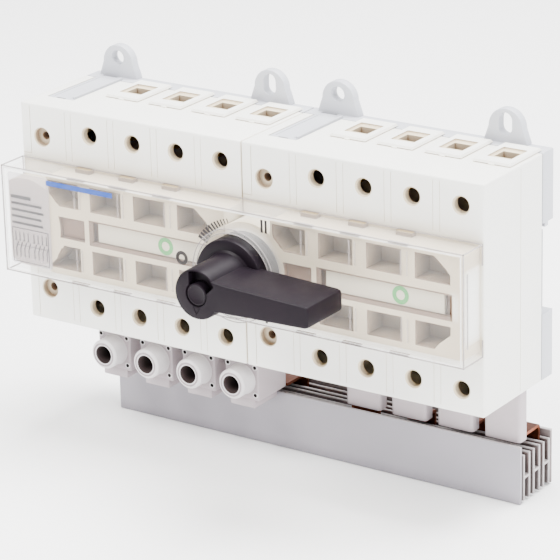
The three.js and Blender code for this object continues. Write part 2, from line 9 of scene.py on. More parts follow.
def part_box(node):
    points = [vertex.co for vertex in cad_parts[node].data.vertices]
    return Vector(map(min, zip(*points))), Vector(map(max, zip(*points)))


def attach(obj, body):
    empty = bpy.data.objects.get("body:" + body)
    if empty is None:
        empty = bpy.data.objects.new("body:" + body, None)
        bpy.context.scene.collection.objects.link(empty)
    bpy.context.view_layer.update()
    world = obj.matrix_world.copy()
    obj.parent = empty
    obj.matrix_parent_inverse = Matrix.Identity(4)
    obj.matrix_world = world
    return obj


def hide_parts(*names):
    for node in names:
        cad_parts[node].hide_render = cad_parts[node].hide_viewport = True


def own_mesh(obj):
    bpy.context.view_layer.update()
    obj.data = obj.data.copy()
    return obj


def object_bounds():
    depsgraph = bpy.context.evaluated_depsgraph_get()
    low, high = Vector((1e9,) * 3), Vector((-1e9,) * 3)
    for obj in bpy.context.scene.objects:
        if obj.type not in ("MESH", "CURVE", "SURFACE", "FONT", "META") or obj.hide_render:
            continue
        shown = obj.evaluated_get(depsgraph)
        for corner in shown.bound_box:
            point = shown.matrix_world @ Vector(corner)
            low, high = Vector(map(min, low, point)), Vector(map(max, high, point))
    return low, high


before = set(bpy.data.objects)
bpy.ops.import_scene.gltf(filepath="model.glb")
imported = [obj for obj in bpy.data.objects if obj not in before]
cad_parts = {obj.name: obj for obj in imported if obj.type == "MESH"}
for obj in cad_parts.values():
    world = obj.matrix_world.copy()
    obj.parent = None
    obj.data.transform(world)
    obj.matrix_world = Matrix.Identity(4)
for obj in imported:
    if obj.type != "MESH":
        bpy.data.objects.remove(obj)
cad_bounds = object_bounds()

# ---------------------------------------------------------------- sizes, in mm of the design frame
MM = 0.001
EDGE = 0.15
PITCH = 108.0
HEIGHT = 92.0
CASE_DEPTH = 43.5
POLES = ("L1", "L2", "L3", "N")
POLE_X = [34.5 + 21.2 * k for k in range(4)]
ROW_Z = {"top": 82.5, "bottom": 9.7}
AXIS_X, AXIS_Z = 118.5, 46.0
TURRET_X, TURRET_R = 10.5, 18.6
NOSE_LOW, NOSE_HIGH, NOSE_FRONT = 26.6, 67.4, -12.3
COVER_FRONT, COVER_BACK = -14.6, -0.4
COVER_LEFT, COVER_RIGHT, COVER_LOW, COVER_TOP = 0.2, 215.8, 24.6, 69.4
COLLAR_FRONT, COLLAR_R, COLLAR_BORE = -22.6, 18.8, 16.8
HANDLE_FRONT = -46.5
BORE_X, BORE_Z = 10.5, (13.8, 78.5)
HOOK_X = (32.5, 54.0, 75.1)
WINDOW_LOW, WINDOW_HIGH = 42.7, 51.1
ENTRY_HALF, ENTRY_FRONT, ENTRY_REAR = 3.75, 30.5, 37.5
INK_PROUD = 0.06
SHIFT = {"I": 0.0, "II": PITCH}

# The design frame's zero is the lower left front corner of the first case.
CASE_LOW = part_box("case_I")[0]
COVER_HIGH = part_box("clear_cover")[1]
ZERO = Vector((CASE_LOW.x - EDGE * MM, COVER_HIGH.y + 0.4 * MM, CASE_LOW.z))
TO_ROW = Matrix.Translation(ZERO) @ Matrix.Scale(MM, 4)


def row_point(x, y, z):
    """A point of the design frame, in metres of the row frame."""
    return TO_ROW @ Vector((x, y, z))


# ---------------------------------------------------------------- camera, lights and floor
def make_camera():
    data = bpy.data.cameras.new("camera")
    data.sensor_width = 36.0
    data.lens = 190.9
    data.clip_start = 0.05
    camera = bpy.data.objects.new("camera", data)
    bpy.context.scene.collection.objects.link(camera)
    azimuth, elevation, roll = math.radians(34.639), math.radians(20.034), math.radians(-1.507)
    back = Vector((
        math.sin(azimuth) * math.cos(elevation),
        -math.cos(azimuth) * math.cos(elevation),
        math.sin(elevation),
    ))
    right = Vector((math.cos(azimuth), math.sin(azimuth), 0.0))
    up = back.cross(right)
    side = right * math.cos(roll) + up * math.sin(roll)
    above = -right * math.sin(roll) + up * math.cos(roll)
    turn = Matrix((side, above, back)).transposed().to_4x4()
    camera.matrix_world = Matrix.Translation(row_point(736.5, -885.5, 430.9)) @ turn
    bpy.context.scene.camera = camera


def area_light(name, place, target, size, power, tint=(1.0, 1.0, 1.0)):
    data = bpy.data.lights.new(name, "AREA")
    data.shape = "DISK"
    data.size = size
    data.energy = power
    data.color = tint
    lamp = bpy.data.objects.new(name, data)
    bpy.context.scene.collection.objects.link(lamp)
    lamp.location = place
    lamp.rotation_euler = (Vector(target) - Vector(place)).to_track_quat("-Z", "Y").to_euler()


def make_studio():
    world = bpy.data.worlds.new("studio")
    world.use_nodes = True
    sky = world.node_tree.nodes["Background"]
    sky.inputs["Color"].default_value = (1.0, 1.0, 1.0, 1.0)
    sky.inputs["Strength"].default_value = 1.05
    bpy.context.scene.world = world
    area_light("key", (-0.55, -1.0, 1.35), (0.0, 0.0, 0.0), 0.9, 58.0, (1.0, 0.99, 0.97))
    area_light("side_fill", (1.5, -0.5, 0.5), (0.0, 0.0, 0.0), 1.0, 38.0, (0.97, 0.98, 1.0))
    area_light("top_soft", (0.2, 0.3, 1.5), (0.0, 0.0, 0.0), 1.2, 105.0)
    bpy.context.view_layer.update()


# ---------------------------------------------------------------- mesh helpers, in mm
def link_mesh(name, bm, *materials):
    mesh = bpy.data.meshes.new(name)
    bmesh.ops.recalc_face_normals(bm, faces=bm.faces)
    bm.to_mesh(mesh)
    bm.free()
    obj = bpy.data.objects.new(name, mesh)
    bpy.context.scene.collection.objects.link(obj)
    for material in materials:
        mesh.materials.append(material)
    return obj


def soften(bm, edges, offset, segments=2, profile=0.5):
    """Rounds the chosen edges of a bmesh."""
    bmesh.ops.bevel(bm, geom=edges, offset=offset, segments=segments, profile=profile, affect="EDGES")


def block(x0, x1, y0, y1, z0, z1, rounding=0.0, segments=2, edges=None):
    """A box as a bmesh. edges says of an edge whether it is rounded, and without it all of them are."""
    bm = bmesh.new()
    bmesh.ops.create_cube(bm, size=1.0)
    middle = Vector(((x0 + x1) / 2, (y0 + y1) / 2, (z0 + z1) / 2))
    size = Matrix.Diagonal((x1 - x0, y1 - y0, z1 - z0, 1.0))
    bm.transform(Matrix.Translation(middle) @ size)
    if rounding > 0:
        soften(bm, [e for e in bm.edges if edges is None or edges(e)], rounding, segments)
    return bm


def stacked(levels):
    """A closed solid through outlines in X and Z that have equally many points: (y, points) pairs."""
    bm = bmesh.new()
    rings = [[bm.verts.new((x, y, z)) for x, z in points] for y, points in levels]
    bm.faces.new(rings[0])
    bm.faces.new(list(reversed(rings[-1])))
    count = len(rings[0])
    for low, high in zip(rings, rings[1:]):
        for i in range(count):
            j = (i + 1) % count
            bm.faces.new((low[j], low[i], high[i], high[j]))
    bmesh.ops.recalc_face_normals(bm, faces=bm.faces)
    return bm


def prism(outline, y0, y1, rounding=0.0):
    """An outline in X and Z, made solid from y0 to y1, with its front and rear edges rounded."""
    bm = stacked([(y0, outline), (y1, outline)])
    if rounding > 0:
        soften(bm, [e for e in bm.edges if abs(e.verts[0].co.y - e.verts[1].co.y) < 1e-6], rounding)
    return bm


def lathe(profile, x, z, facets=64, along="Y", other=0.0):
    """Turns (radius, place) pairs about an axis through (x, z) along Y, or (x, other) along Z."""
    bm = bmesh.new()
    rings = []
    for radius, place in profile:
        if radius < 1e-6:
            spots = [(0.0, 0.0)]
        else:
            spots = [
                (radius * math.cos(2 * math.pi * i / facets), radius * math.sin(2 * math.pi * i / facets))
                for i in range(facets)
            ]
        if along == "Y":
            rings.append([bm.verts.new((x + a, place, z + b)) for a, b in spots])
        else:
            rings.append([bm.verts.new((x + a, other + b, place)) for a, b in spots])
    for low, high in zip(rings, rings[1:]):
        if len(low) == 1 and len(high) == 1:
            continue
        for i in range(facets):
            j = (i + 1) % facets
            if len(low) == 1:
                bm.faces.new((low[0], high[i], high[j]))
            elif len(high) == 1:
                bm.faces.new((low[i], low[j], high[0]))
            else:
                bm.faces.new((low[i], low[j], high[j], high[i]))
    bmesh.ops.recalc_face_normals(bm, faces=bm.faces)
    return bm


def closed_lathe(profile, x, z, facets=64):
    """A ring: the profile closes on itself and stays off the axis."""
    bm = lathe(list(profile) + [profile[0]], x, z, facets)
    bmesh.ops.remove_doubles(bm, verts=bm.verts, dist=1e-4)
    bmesh.ops.recalc_face_normals(bm, faces=bm.faces)
    return bm


def hole_tool(x, z, radius, y0, y1, flare=0.35, facets=48):
    """Cuts a round hole along Y that opens with a small chamfer at y0."""
    return lathe(
        [(0, y0 - 1), (radius + flare + 1, y0 - 1), (radius, y0 + flare), (radius, y1), (0, y1)],
        x, z, facets,
    )


def pocket_tool(outline, y0, y1, flare=0.4, draft=0.0):
    """Cuts a recess of that outline along Y with a chamfered mouth at y0 and drafted walls."""
    cx = sum(p[0] for p in outline) / len(outline)
    cz = sum(p[1] for p in outline) / len(outline)

    def grown(amount):
        points = []
        for px, pz in outline:
            dx, dz = px - cx, pz - cz
            points.append((px + math.copysign(amount, dx), pz + math.copysign(amount, dz)))
        return points

    levels = [(y0 - 1, grown(flare + 1)), (y0 + flare, grown(0.0)), (y1, grown(-draft))]
    return stacked(levels)


def joined(meshes):
    """One bmesh from several, which may touch or overlap."""
    whole = bmesh.new()
    for part in meshes:
        mesh = bpy.data.meshes.new("part")
        part.to_mesh(mesh)
        part.free()
        whole.from_mesh(mesh)
        bpy.data.meshes.remove(mesh)
    return whole


def loose_mesh(obj):
    """Takes the mesh of a helper object as a bmesh and removes the object."""
    bm = bmesh.new()
    bm.from_mesh(obj.data)
    bpy.data.objects.remove(obj)
    return bm


def make_plain(obj):
    """Turns what obj's modifiers show into its own mesh."""
    bpy.context.view_layer.update()
    graph = bpy.context.evaluated_depsgraph_get()
    result = bpy.data.meshes.new_from_object(obj.evaluated_get(graph))
    obj.modifiers.clear()
    old = obj.data
    name = old.name
    obj.data = result
    bpy.data.meshes.remove(old)
    result.name = name
    return obj


def boolean(obj, tools, operation="DIFFERENCE", material=None):
    """Joins or cuts obj by tools. Cut faces take the tool's material."""
    tool = link_mesh("tool", joined(tools), *([material] if material else []))
    cutter = obj.modifiers.new("cut", "BOOLEAN")
    cutter.operation = operation
    cutter.object = tool
    cutter.solver = "EXACT"
    cutter.use_self = True
    if material:
        cutter.material_mode = "TRANSFER"
    make_plain(obj)
    bpy.data.objects.remove(tool)
    return obj


def one_by_one(obj, tools, operation="UNION", material=None):
    """Joins or cuts obj by each tool in turn, for tools that meet each other."""
    for tool in tools:
        boolean(obj, [tool], operation, material)


def rounded(obj, width, angle, material=-1):
    """Rounds the edges sharper than angle. The rounding takes the material slot given."""
    soft = obj.modifiers.new("rounding", "BEVEL")
    soft.width = width
    soft.segments = 2
    soft.limit_method = "ANGLE"
    soft.angle_limit = math.radians(angle)
    soft.material = material
    return make_plain(obj)


def finish_piece(obj, body, replaced=(), sharp=32.0):
    """Moves a piece from design mm to the row frame and hands it to the frame."""
    obj.data.transform(TO_ROW)
    obj.data.shade_smooth()
    obj.data.set_sharp_from_angle(angle=math.radians(sharp))
    obj.data.update()
    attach(obj, body)
    if replaced:
        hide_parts(*replaced)
    return obj


def fixed_piece(name, bm, material, replaced=()):
    """A piece of the fixed body, straight from its bmesh."""
    return finish_piece(link_mesh(name, bm, material), "root", replaced)


# ---------------------------------------------------------------- shader groups
def new_group(name, inputs, outputs):
    tree = bpy.data.node_groups.new(name, "ShaderNodeTree")
    for title, kind, value in inputs:
        socket = tree.interface.new_socket(name=title, in_out="INPUT", socket_type=kind)
        socket.default_value = value
    for title, kind in outputs:
        tree.interface.new_socket(name=title, in_out="OUTPUT", socket_type=kind)
    return tree, tree.nodes.new("NodeGroupInput"), tree.nodes.new("NodeGroupOutput")


def math_node(tree, operation, a, b=None, clamp=False):
    """A Math node of a shader or geometry tree: numbers as values, sockets as links."""
    node = tree.nodes.new("ShaderNodeMath")
    node.operation = operation
    node.use_clamp = clamp
    for socket, value in zip(node.inputs, (a, b)):
        if value is None:
            continue
        if isinstance(value, (int, float)):
            socket.default_value = value
        else:
            tree.links.new(value, socket)
    return node.outputs[0]


def noise_node(tree, vector, scale, detail=3.0, roughness=0.5):
    node = tree.nodes.new("ShaderNodeTexNoise")
    tree.links.new(vector, node.inputs["Vector"])
    node.inputs["Detail"].default_value = detail
    node.inputs["Roughness"].default_value = roughness
    if isinstance(scale, (int, float)):
        node.inputs["Scale"].default_value = scale
    else:
        tree.links.new(scale, node.inputs["Scale"])
    return node.outputs["Fac"]


def moulded_skin_group():
    """Spark-eroded grain of a moulded part, slow flow marks in its colour, and faint handling marks."""
    tree, inside, outside = new_group(
        "moulded_skin",
        [
            ("Grain Scale", "NodeSocketFloat", 2600.0),
            ("Flow Scale", "NodeSocketFloat", 38.0),
            ("Base Roughness", "NodeSocketFloat", 0.5),
            ("Roughness Spread", "NodeSocketFloat", 0.12),
        ],
        [("Grain", "NodeSocketFloat"), ("Flow", "NodeSocketFloat"), ("Roughness", "NodeSocketFloat")],
    )
    place = tree.nodes.new("ShaderNodeTexCoord").outputs["Object"]
    grain = noise_node(tree, place, inside.outputs["Grain Scale"], 2.0, 0.6)
    flow = noise_node(tree, place, inside.outputs["Flow Scale"], 4.0, 0.55)
    marks = noise_node(tree, place, math_node(tree, "MULTIPLY", inside.outputs["Flow Scale"], 4.0), 5.0, 0.7)
    swing = math_node(tree, "SUBTRACT", marks, 0.5)
    spread = math_node(tree, "MULTIPLY", swing, inside.outputs["Roughness Spread"])
    rough = math_node(tree, "ADD", inside.outputs["Base Roughness"], spread, clamp=True)
    tree.links.new(grain, outside.inputs["Grain"])
    tree.links.new(flow, outside.inputs["Flow"])
    tree.links.new(rough, outside.inputs["Roughness"])
    return tree


def recess_group():
    """Shade that gathers in corners and recesses, from the depth of the hollow around a point."""
    tree, inside, outside = new_group(
        "recess_shade",
        [("Reach", "NodeSocketFloat", 0.004), ("Strength", "NodeSocketFloat", 0.5)],
        [("Mask", "NodeSocketFloat")],
    )
    shade = tree.nodes.new("ShaderNodeAmbientOcclusion")
    shade.samples = 6
    tree.links.new(inside.outputs["Reach"], shade.inputs["Distance"])
    hollow = math_node(tree, "SUBTRACT", 1.0, shade.outputs["AO"], clamp=True)
    mask = math_node(tree, "MULTIPLY", hollow, inside.outputs["Strength"], clamp=True)
    tree.links.new(mask, outside.inputs["Mask"])
    return tree


def drawn_metal_group():
    """Long drawing lines of rolled or turned metal, with patches of tarnish."""
    tree, inside, outside = new_group(
        "drawn_metal",
        [
            ("Line Scale", "NodeSocketFloat", 900.0),
            ("Stretch", "NodeSocketVector", (0.02, 1.0, 1.0)),
            ("Tarnish Scale", "NodeSocketFloat", 90.0),
            ("Tarnish", "NodeSocketFloat", 0.5),
        ],
        [("Lines", "NodeSocketFloat"), ("Tarnish Mask", "NodeSocketFloat")],
    )
    place = tree.nodes.new("ShaderNodeTexCoord").outputs["Object"]
    stretch = tree.nodes.new("ShaderNodeVectorMath")
    stretch.operation = "MULTIPLY"
    tree.links.new(place, stretch.inputs[0])
    tree.links.new(inside.outputs["Stretch"], stretch.inputs[1])
    lines = noise_node(tree, stretch.outputs[0], inside.outputs["Line Scale"], 3.0, 0.6)
    patches = noise_node(tree, place, inside.outputs["Tarnish Scale"], 5.0, 0.6)
    mask = math_node(tree, "MULTIPLY", patches, inside.outputs["Tarnish"], clamp=True)
    tree.links.new(lines, outside.inputs["Lines"])
    tree.links.new(mask, outside.inputs["Tarnish Mask"])
    return tree


MOULDED_SKIN = moulded_skin_group()
RECESS_SHADE = recess_group()
DRAWN_METAL = drawn_metal_group()


# ---------------------------------------------------------------- materials
def linear(r, g, b):
    """An sRGB colour of 0 to 255 as linear light."""
    def one(v):
        v = v / 255
        return v / 12.92 if v <= 0.04045 else ((v + 0.055) / 1.055) ** 2.4
    return (one(r), one(g), one(b), 1.0)


def blank_material(name):
    material = bpy.data.materials.new(name)
    material.use_nodes = True
    return material, material.node_tree, material.node_tree.nodes["Principled BSDF"]


def place_group(tree, group, **values):
    node = tree.nodes.new("ShaderNodeGroup")
    node.node_tree = group
    for title, value in values.items():
        node.inputs[title.replace("_", " ")].default_value = value
    return node


def mix_colours(tree, factor, a, b):
    node = tree.nodes.new("ShaderNodeMix")
    node.data_type = "RGBA"
    tree.links.new(factor, node.inputs["Factor"])
    for socket, value in ((node.inputs[6], a), (node.inputs[7], b)):
        if isinstance(value, tuple):
            socket.default_value = value
        else:
            tree.links.new(value, socket)
    return node.outputs[2]


def bump_from(tree, shader, height, strength, distance):
    bump = tree.nodes.new("ShaderNodeBump")
    bump.inputs["Strength"].default_value = strength
    bump.inputs["Distance"].default_value = distance
    tree.links.new(height, bump.inputs["Height"])
    tree.links.new(bump.outputs["Normal"], shader.inputs["Normal"])


def moulding(name, light, dark, shade, rough, spread=0.12, grain=2600.0, flow=38.0, bump=0.25,
             recess=0.6, reach=0.005, specular=0.45):
    """A moulded plastic: two close colours that flow into each other, and a third laid into the corners and
    recesses as painted shade.
    """
    material, tree, shader = blank_material(name)
    light, dark, shade = linear(*light), linear(*dark), linear(*shade)
    skin = place_group(tree, MOULDED_SKIN, Grain_Scale=grain, Flow_Scale=flow, Base_Roughness=rough,
                       Roughness_Spread=spread)
    colour = mix_colours(tree, skin.outputs["Flow"], dark, light)
    # Painted shade: the recess_shade mask mixes the shade colour into corners and recesses.
    hollow = place_group(tree, RECESS_SHADE, Reach=reach, Strength=recess)
    colour = mix_colours(tree, hollow.outputs["Mask"], colour, shade)
    tree.links.new(colour, shader.inputs["Base Color"])
    tree.links.new(skin.outputs["Roughness"], shader.inputs["Roughness"])
    shader.inputs["Specular IOR Level"].default_value = specular
    bump_from(tree, shader, skin.outputs["Grain"], bump, 0.00004)
    return material


def bare_metal(name, bright, tarnished, rough, stretch, tarnish=0.55):
    """Metal with drawing lines along the axis that stretch makes long, and patches of tarnish."""
    material, tree, shader = blank_material(name)
    drawn = place_group(tree, DRAWN_METAL, Line_Scale=900.0, Stretch=stretch, Tarnish=tarnish)
    colour = mix_colours(tree, drawn.outputs["Tarnish Mask"], linear(*bright), linear(*tarnished))
    tree.links.new(colour, shader.inputs["Base Color"])
    shader.inputs["Metallic"].default_value = 1.0
    swing = math_node(tree, "MULTIPLY", drawn.outputs["Lines"], 0.25)
    tree.links.new(math_node(tree, "ADD", swing, rough - 0.12, clamp=True), shader.inputs["Roughness"])
    bump_from(tree, shader, drawn.outputs["Lines"], 0.2, 0.00003)
    return material


def printed(name, ink, rough=0.45):
    """Pad-printed ink with slightly uneven cover."""
    material, tree, shader = blank_material(name)
    ink = linear(*ink)
    skin = place_group(tree, MOULDED_SKIN, Grain_Scale=1800.0, Flow_Scale=300.0, Base_Roughness=rough)
    thin = tuple(c + 0.35 * (1.0 - c) * 0.15 for c in ink[:3]) + (1.0,)
    tree.links.new(mix_colours(tree, skin.outputs["Flow"], ink, thin), shader.inputs["Base Color"])
    tree.links.new(skin.outputs["Roughness"], shader.inputs["Roughness"])
    shader.inputs["Specular IOR Level"].default_value = 0.1
    bump_from(tree, shader, skin.outputs["Grain"], 0.1, 0.00002)
    return material


def clear_plastic(name, tint, low, high, rough=0.06):
    """Clear moulded sheet: low is its cover face on, and high its cover at a slant."""
    material, tree, shader = blank_material(name)
    tint = linear(*tint)
    skin = place_group(tree, MOULDED_SKIN, Grain_Scale=60.0, Flow_Scale=20.0, Base_Roughness=rough,
                       Roughness_Spread=0.04)
    pale = tuple(0.5 + 0.5 * c for c in tint[:3]) + (1.0,)
    tree.links.new(mix_colours(tree, skin.outputs["Flow"], tint, pale), shader.inputs["Base Color"])
    tree.links.new(skin.outputs["Roughness"], shader.inputs["Roughness"])
    shader.inputs["Specular IOR Level"].default_value = 0.8
    slant = tree.nodes.new("ShaderNodeLayerWeight")
    slant.inputs["Blend"].default_value = 0.35
    spread = math_node(tree, "MULTIPLY", slant.outputs["Facing"], high - low)
    tree.links.new(math_node(tree, "ADD", spread, low, clamp=True), shader.inputs["Alpha"])
    bump_from(tree, shader, skin.outputs["Flow"], 0.06, 0.0006)
    return material


# Painted shade: the third colour of each moulding below is the shade painted into its corners and recesses.
WHITE = moulding("white_moulding", (238, 238, 233), (231, 231, 225), (196, 180, 152), 0.48,
                 recess=0.95, reach=0.006)
# Painted shade: the faces inside holes, recesses and the hollow of the case take this darker, warmer copy of
# the white moulding.
SHADED_INSIDE = moulding("inside_painted_shade", (220, 207, 180), (206, 191, 162), (104, 74, 54), 0.5,
                 recess=1.0, reach=0.01)
# Painted shade: the snap hooks in the cover's notches are coloured tan for the shadow they sit in.
HOOK_SHADE = moulding("hook_painted_shade", (166, 148, 114), (152, 134, 100), (96, 72, 50), 0.5, recess=0.9)
GREY = moulding("grey_moulding", (188, 190, 196), (178, 180, 187), (120, 116, 124), 0.5)
RAIL_GREY = moulding("rail_grey", (152, 148, 155), (144, 140, 147), (82, 74, 80), 0.46,
                     grain=3400.0, flow=22.0)
# Painted light on the busbar comb: a darker copy of its grey as shade on the inner walls, floor and rear
# plate, and a lighter one as highlight on the walls' top and end edges, which also colours the bridge clips.
RIB_SHADE = moulding("rib_painted_shade", (128, 118, 117), (112, 101, 99), (44, 33, 33), 0.55,
                    recess=0.9)
RIB_HIGHLIGHT_AND_CLIPS = moulding("rib_edge_highlight_and_clips", (172, 167, 167), (156, 150, 150), (84, 72, 72), 0.5)
WARM_GREY = moulding("warm_grey", (170, 160, 163), (160, 149, 153), (84, 66, 70), 0.48,
                     recess=0.85)
SLEEVE_FACE = moulding("sleeve_face", (206, 202, 203), (194, 189, 191), (104, 90, 94), 0.42)
DARK = moulding("dark_handle", (24, 17, 23), (15, 11, 17), (3, 2, 4), 0.4,
                spread=0.2, grain=1900.0, flow=60.0, bump=0.3, recess=0.9, reach=0.004, specular=0.08)
# Painted shade: near-black for the walls of deep bores and slots, where shade falls.
DEEP_SHADE = moulding("deep_recess_painted_shade", (52, 39, 38), (38, 28, 28), (12, 8, 9), 0.6)
SLIDER = moulding("slider_front", (226, 222, 206), (217, 212, 194), (160, 140, 108), 0.4)
COPPER = bare_metal("copper", (158, 88, 56), (52, 26, 20), 0.34, (1.0, 0.02, 0.6), tarnish=0.8)
BRASS = bare_metal("brass", (214, 178, 96), (140, 104, 48), 0.34, (1.0, 1.0, 0.02))
PLATED = bare_metal("plated_screw", (206, 190, 150), (120, 98, 70), 0.34, (1.0, 0.05, 1.0))
STEEL = bare_metal("bright_steel", (190, 190, 192), (128, 126, 124), 0.3, (1.0, 0.03, 1.0),
                   tarnish=0.3)
INK = printed("brown_black_ink", (24, 15, 14))
GREEN_INK = printed("green_ink", (52, 152, 66))
CARD = printed("diagram_card", (196, 186, 194), 0.55)
CARD.node_tree.nodes["Principled BSDF"].inputs["Alpha"].default_value = 0.3
CARD_INK = printed("card_ink", (22, 17, 24))
BLUE_INK = printed("blue_strip", (26, 66, 146))
CLEAR = clear_plastic("clear_plastic", (244, 240, 236), 0.015, 0.2)
# Painted shade: the dark brown line where the clear sheet is seen end on, on the cover's rounded edges and
# rim.
CLEAR_EDGE_SHADE = clear_plastic("clear_edge_painted_shade", (78, 52, 48), 0.62, 0.82, 0.12)
# Painted highlight: bright lines beside the cover's edges.
CLEAR_HIGHLIGHT = clear_plastic("clear_painted_highlight", (254, 253, 250), 0.6, 0.8)
# Painted shade: brown lines along the cover's front edge at its notches.
CLEAR_NOTCH_SHADE = clear_plastic("clear_notch_painted_shade", (92, 62, 50), 0.7, 0.85, 0.12)
CLEAR_RIB = clear_plastic("clear_rib", (176, 156, 150), 0.16, 0.55)


# ---------------------------------------------------------------- geometry node helpers
def new_tree(name, inputs):
    tree = bpy.data.node_groups.new(name, "GeometryNodeTree")
    tree.interface.new_socket(name="Geometry", in_out="INPUT", socket_type="NodeSocketGeometry")
    for title, kind, value in inputs:
        socket = tree.interface.new_socket(name=title, in_out="INPUT", socket_type=kind)
        if value is not None:
            socket.default_value = value
    tree.interface.new_socket(name="Geometry", in_out="OUTPUT", socket_type="NodeSocketGeometry")
    return tree, tree.nodes.new("NodeGroupInput"), tree.nodes.new("NodeGroupOutput")


def add(tree, kind, **links):
    """A node with its inputs set: numbers and vectors as values, sockets as links."""
    node = tree.nodes.new(kind)
    for title, value in links.items():
        socket = node.inputs[title.replace("_", " ")]
        if isinstance(value, bpy.types.NodeSocket):
            tree.links.new(value, socket)
        else:
            socket.default_value = value
    return node


def close_tree(tree, geometry, inside, outside):
    """Makes the instances real and gives them the material."""
    real = add(tree, "GeometryNodeRealizeInstances", Geometry=geometry)
    painted = add(tree, "GeometryNodeSetMaterial", Geometry=real.outputs[0],
                  Material=inside.outputs["Material"])
    tree.links.new(painted.outputs[0], outside.inputs["Geometry"])


def grow(tree, obj, **values):
    """Runs a tree on obj and leaves the plain mesh."""
    modifier = obj.modifiers.new("grow", "NODES")
    modifier.node_group = tree
    sockets = {
        item.name: item.identifier for item in tree.interface.items_tree if item.in_out == "INPUT"
    }
    for title, value in values.items():
        modifier[sockets[title.replace("_", " ")]] = value
    return make_plain(obj)


def clamp_screw_tree():
    """A slotted clamping screw with its shank, at every pole of both rows of both switches."""
    tree, inside, outside = new_tree("clamp_screws", [
        ("Material", "NodeSocketMaterial", None),
        ("Head Radius", "NodeSocketFloat", 2.9),
        ("Head Height", "NodeSocketFloat", 3.5),
        ("Shank Radius", "NodeSocketFloat", 2.0),
        ("Shank Length", "NodeSocketFloat", 13.5),
        ("Slot Width", "NodeSocketFloat", 0.9),
    ])
    get = inside.outputs
    head = add(tree, "GeometryNodeMeshCylinder", Vertices=28, Radius=get["Head Radius"],
               Depth=get["Head Height"])
    arms = []
    for angle in (math.radians(20), math.radians(110)):
        bar = tree.nodes.new("GeometryNodeMeshCube")
        size = add(tree, "ShaderNodeCombineXYZ", X=math_node(tree, "MULTIPLY", get["Head Radius"], 1.35),
                   Y=get["Slot Width"], Z=1.8)
        tree.links.new(size.outputs[0], bar.inputs["Size"])
        lift = add(tree, "ShaderNodeCombineXYZ", Z=math_node(tree, "MULTIPLY", get["Head Height"], 0.5))
        arms.append(add(tree, "GeometryNodeTransform", Geometry=bar.outputs["Mesh"],
                        Translation=lift.outputs[0], Rotation=(0.0, 0.0, angle)))
    slotted = tree.nodes.new("GeometryNodeMeshBoolean")
    slotted.operation = "DIFFERENCE"
    slotted.solver = "EXACT"
    tree.links.new(head.outputs["Mesh"], slotted.inputs["Mesh 1"])
    for arm in arms:
        tree.links.new(arm.outputs[0], slotted.inputs["Mesh 2"])
    slotted.inputs["Self Intersection"].default_value = True
    shank = add(tree, "GeometryNodeMeshCylinder", Vertices=20, Radius=get["Shank Radius"],
                Depth=get["Shank Length"])
    whole_length = math_node(tree, "ADD", get["Head Height"], get["Shank Length"])
    below = math_node(tree, "MULTIPLY", whole_length, -0.5)
    drop = add(tree, "ShaderNodeCombineXYZ", Z=math_node(tree, "ADD", below, 0.3))
    stem = add(tree, "GeometryNodeTransform", Geometry=shank.outputs["Mesh"], Translation=drop.outputs[0])
    whole = tree.nodes.new("GeometryNodeJoinGeometry")
    tree.links.new(stem.outputs[0], whole.inputs[0])
    tree.links.new(slotted.outputs["Mesh"], whole.inputs[0])
    faced = add(tree, "GeometryNodeTransform", Geometry=whole.outputs[0], Rotation=(math.pi / 2, 0.0, 0.0))
    spread = add(tree, "GeometryNodeInstanceOnPoints", Points=get["Geometry"], Instance=faced.outputs[0])
    close_tree(tree, spread.outputs[0], inside, outside)
    return tree


def coil_spring_tree():
    """Round wire wound into an open coil along Y."""
    tree, inside, outside = new_tree("coil_spring", [
        ("Material", "NodeSocketMaterial", None),
        ("Turns", "NodeSocketFloat", 4.5),
        ("Coil Radius", "NodeSocketFloat", 3.1),
        ("Length", "NodeSocketFloat", 6.0),
        ("Wire Radius", "NodeSocketFloat", 0.35),
    ])
    get = inside.outputs
    coil = add(tree, "GeometryNodeCurveSpiral", Resolution=26, Rotations=get["Turns"],
               Start_Radius=get["Coil Radius"], End_Radius=get["Coil Radius"], Height=get["Length"])
    wire = add(tree, "GeometryNodeCurvePrimitiveCircle", Resolution=10)
    tree.links.new(get["Wire Radius"], wire.inputs["Radius"])
    swept = add(tree, "GeometryNodeCurveToMesh", Curve=coil.outputs[0], Profile_Curve=wire.outputs[0],
                Fill_Caps=True)
    laid = add(tree, "GeometryNodeTransform", Geometry=swept.outputs[0], Rotation=(-math.pi / 2, 0.0, 0.0))
    put = add(tree, "GeometryNodeInstanceOnPoints", Points=get["Geometry"], Instance=laid.outputs[0])
    close_tree(tree, put.outputs[0], inside, outside)
    return tree


def bent_strip_tree():
    """Flat strip that follows a path of edges, standing on its thin side."""
    tree, inside, outside = new_tree("bent_strip", [
        ("Material", "NodeSocketMaterial", None),
        ("Width", "NodeSocketFloat", 5.0),
        ("Thickness", "NodeSocketFloat", 1.2),
        ("Bend", "NodeSocketFloat", 0.8),
    ])
    get = inside.outputs
    path = add(tree, "GeometryNodeMeshToCurve", Mesh=get["Geometry"])
    bent = tree.nodes.new("GeometryNodeFilletCurve")
    bent.mode = "POLY"
    tree.links.new(path.outputs[0], bent.inputs["Curve"])
    tree.links.new(get["Bend"], bent.inputs["Radius"])
    bent.inputs["Count"].default_value = 4
    flat = tree.nodes.new("GeometryNodeCurvePrimitiveQuadrilateral")
    tree.links.new(get["Width"], flat.inputs["Width"])
    tree.links.new(get["Thickness"], flat.inputs["Height"])
    level = tree.nodes.new("GeometryNodeSetCurveNormal")
    level.mode = "FREE"
    tree.links.new(bent.outputs[0], level.inputs["Curve"])
    level.inputs["Normal"].default_value = (1.0, 0.0, 0.0)
    swept = add(tree, "GeometryNodeCurveToMesh", Curve=level.outputs[0], Profile_Curve=flat.outputs[0],
                Fill_Caps=True)
    close_tree(tree, swept.outputs[0], inside, outside)
    return tree


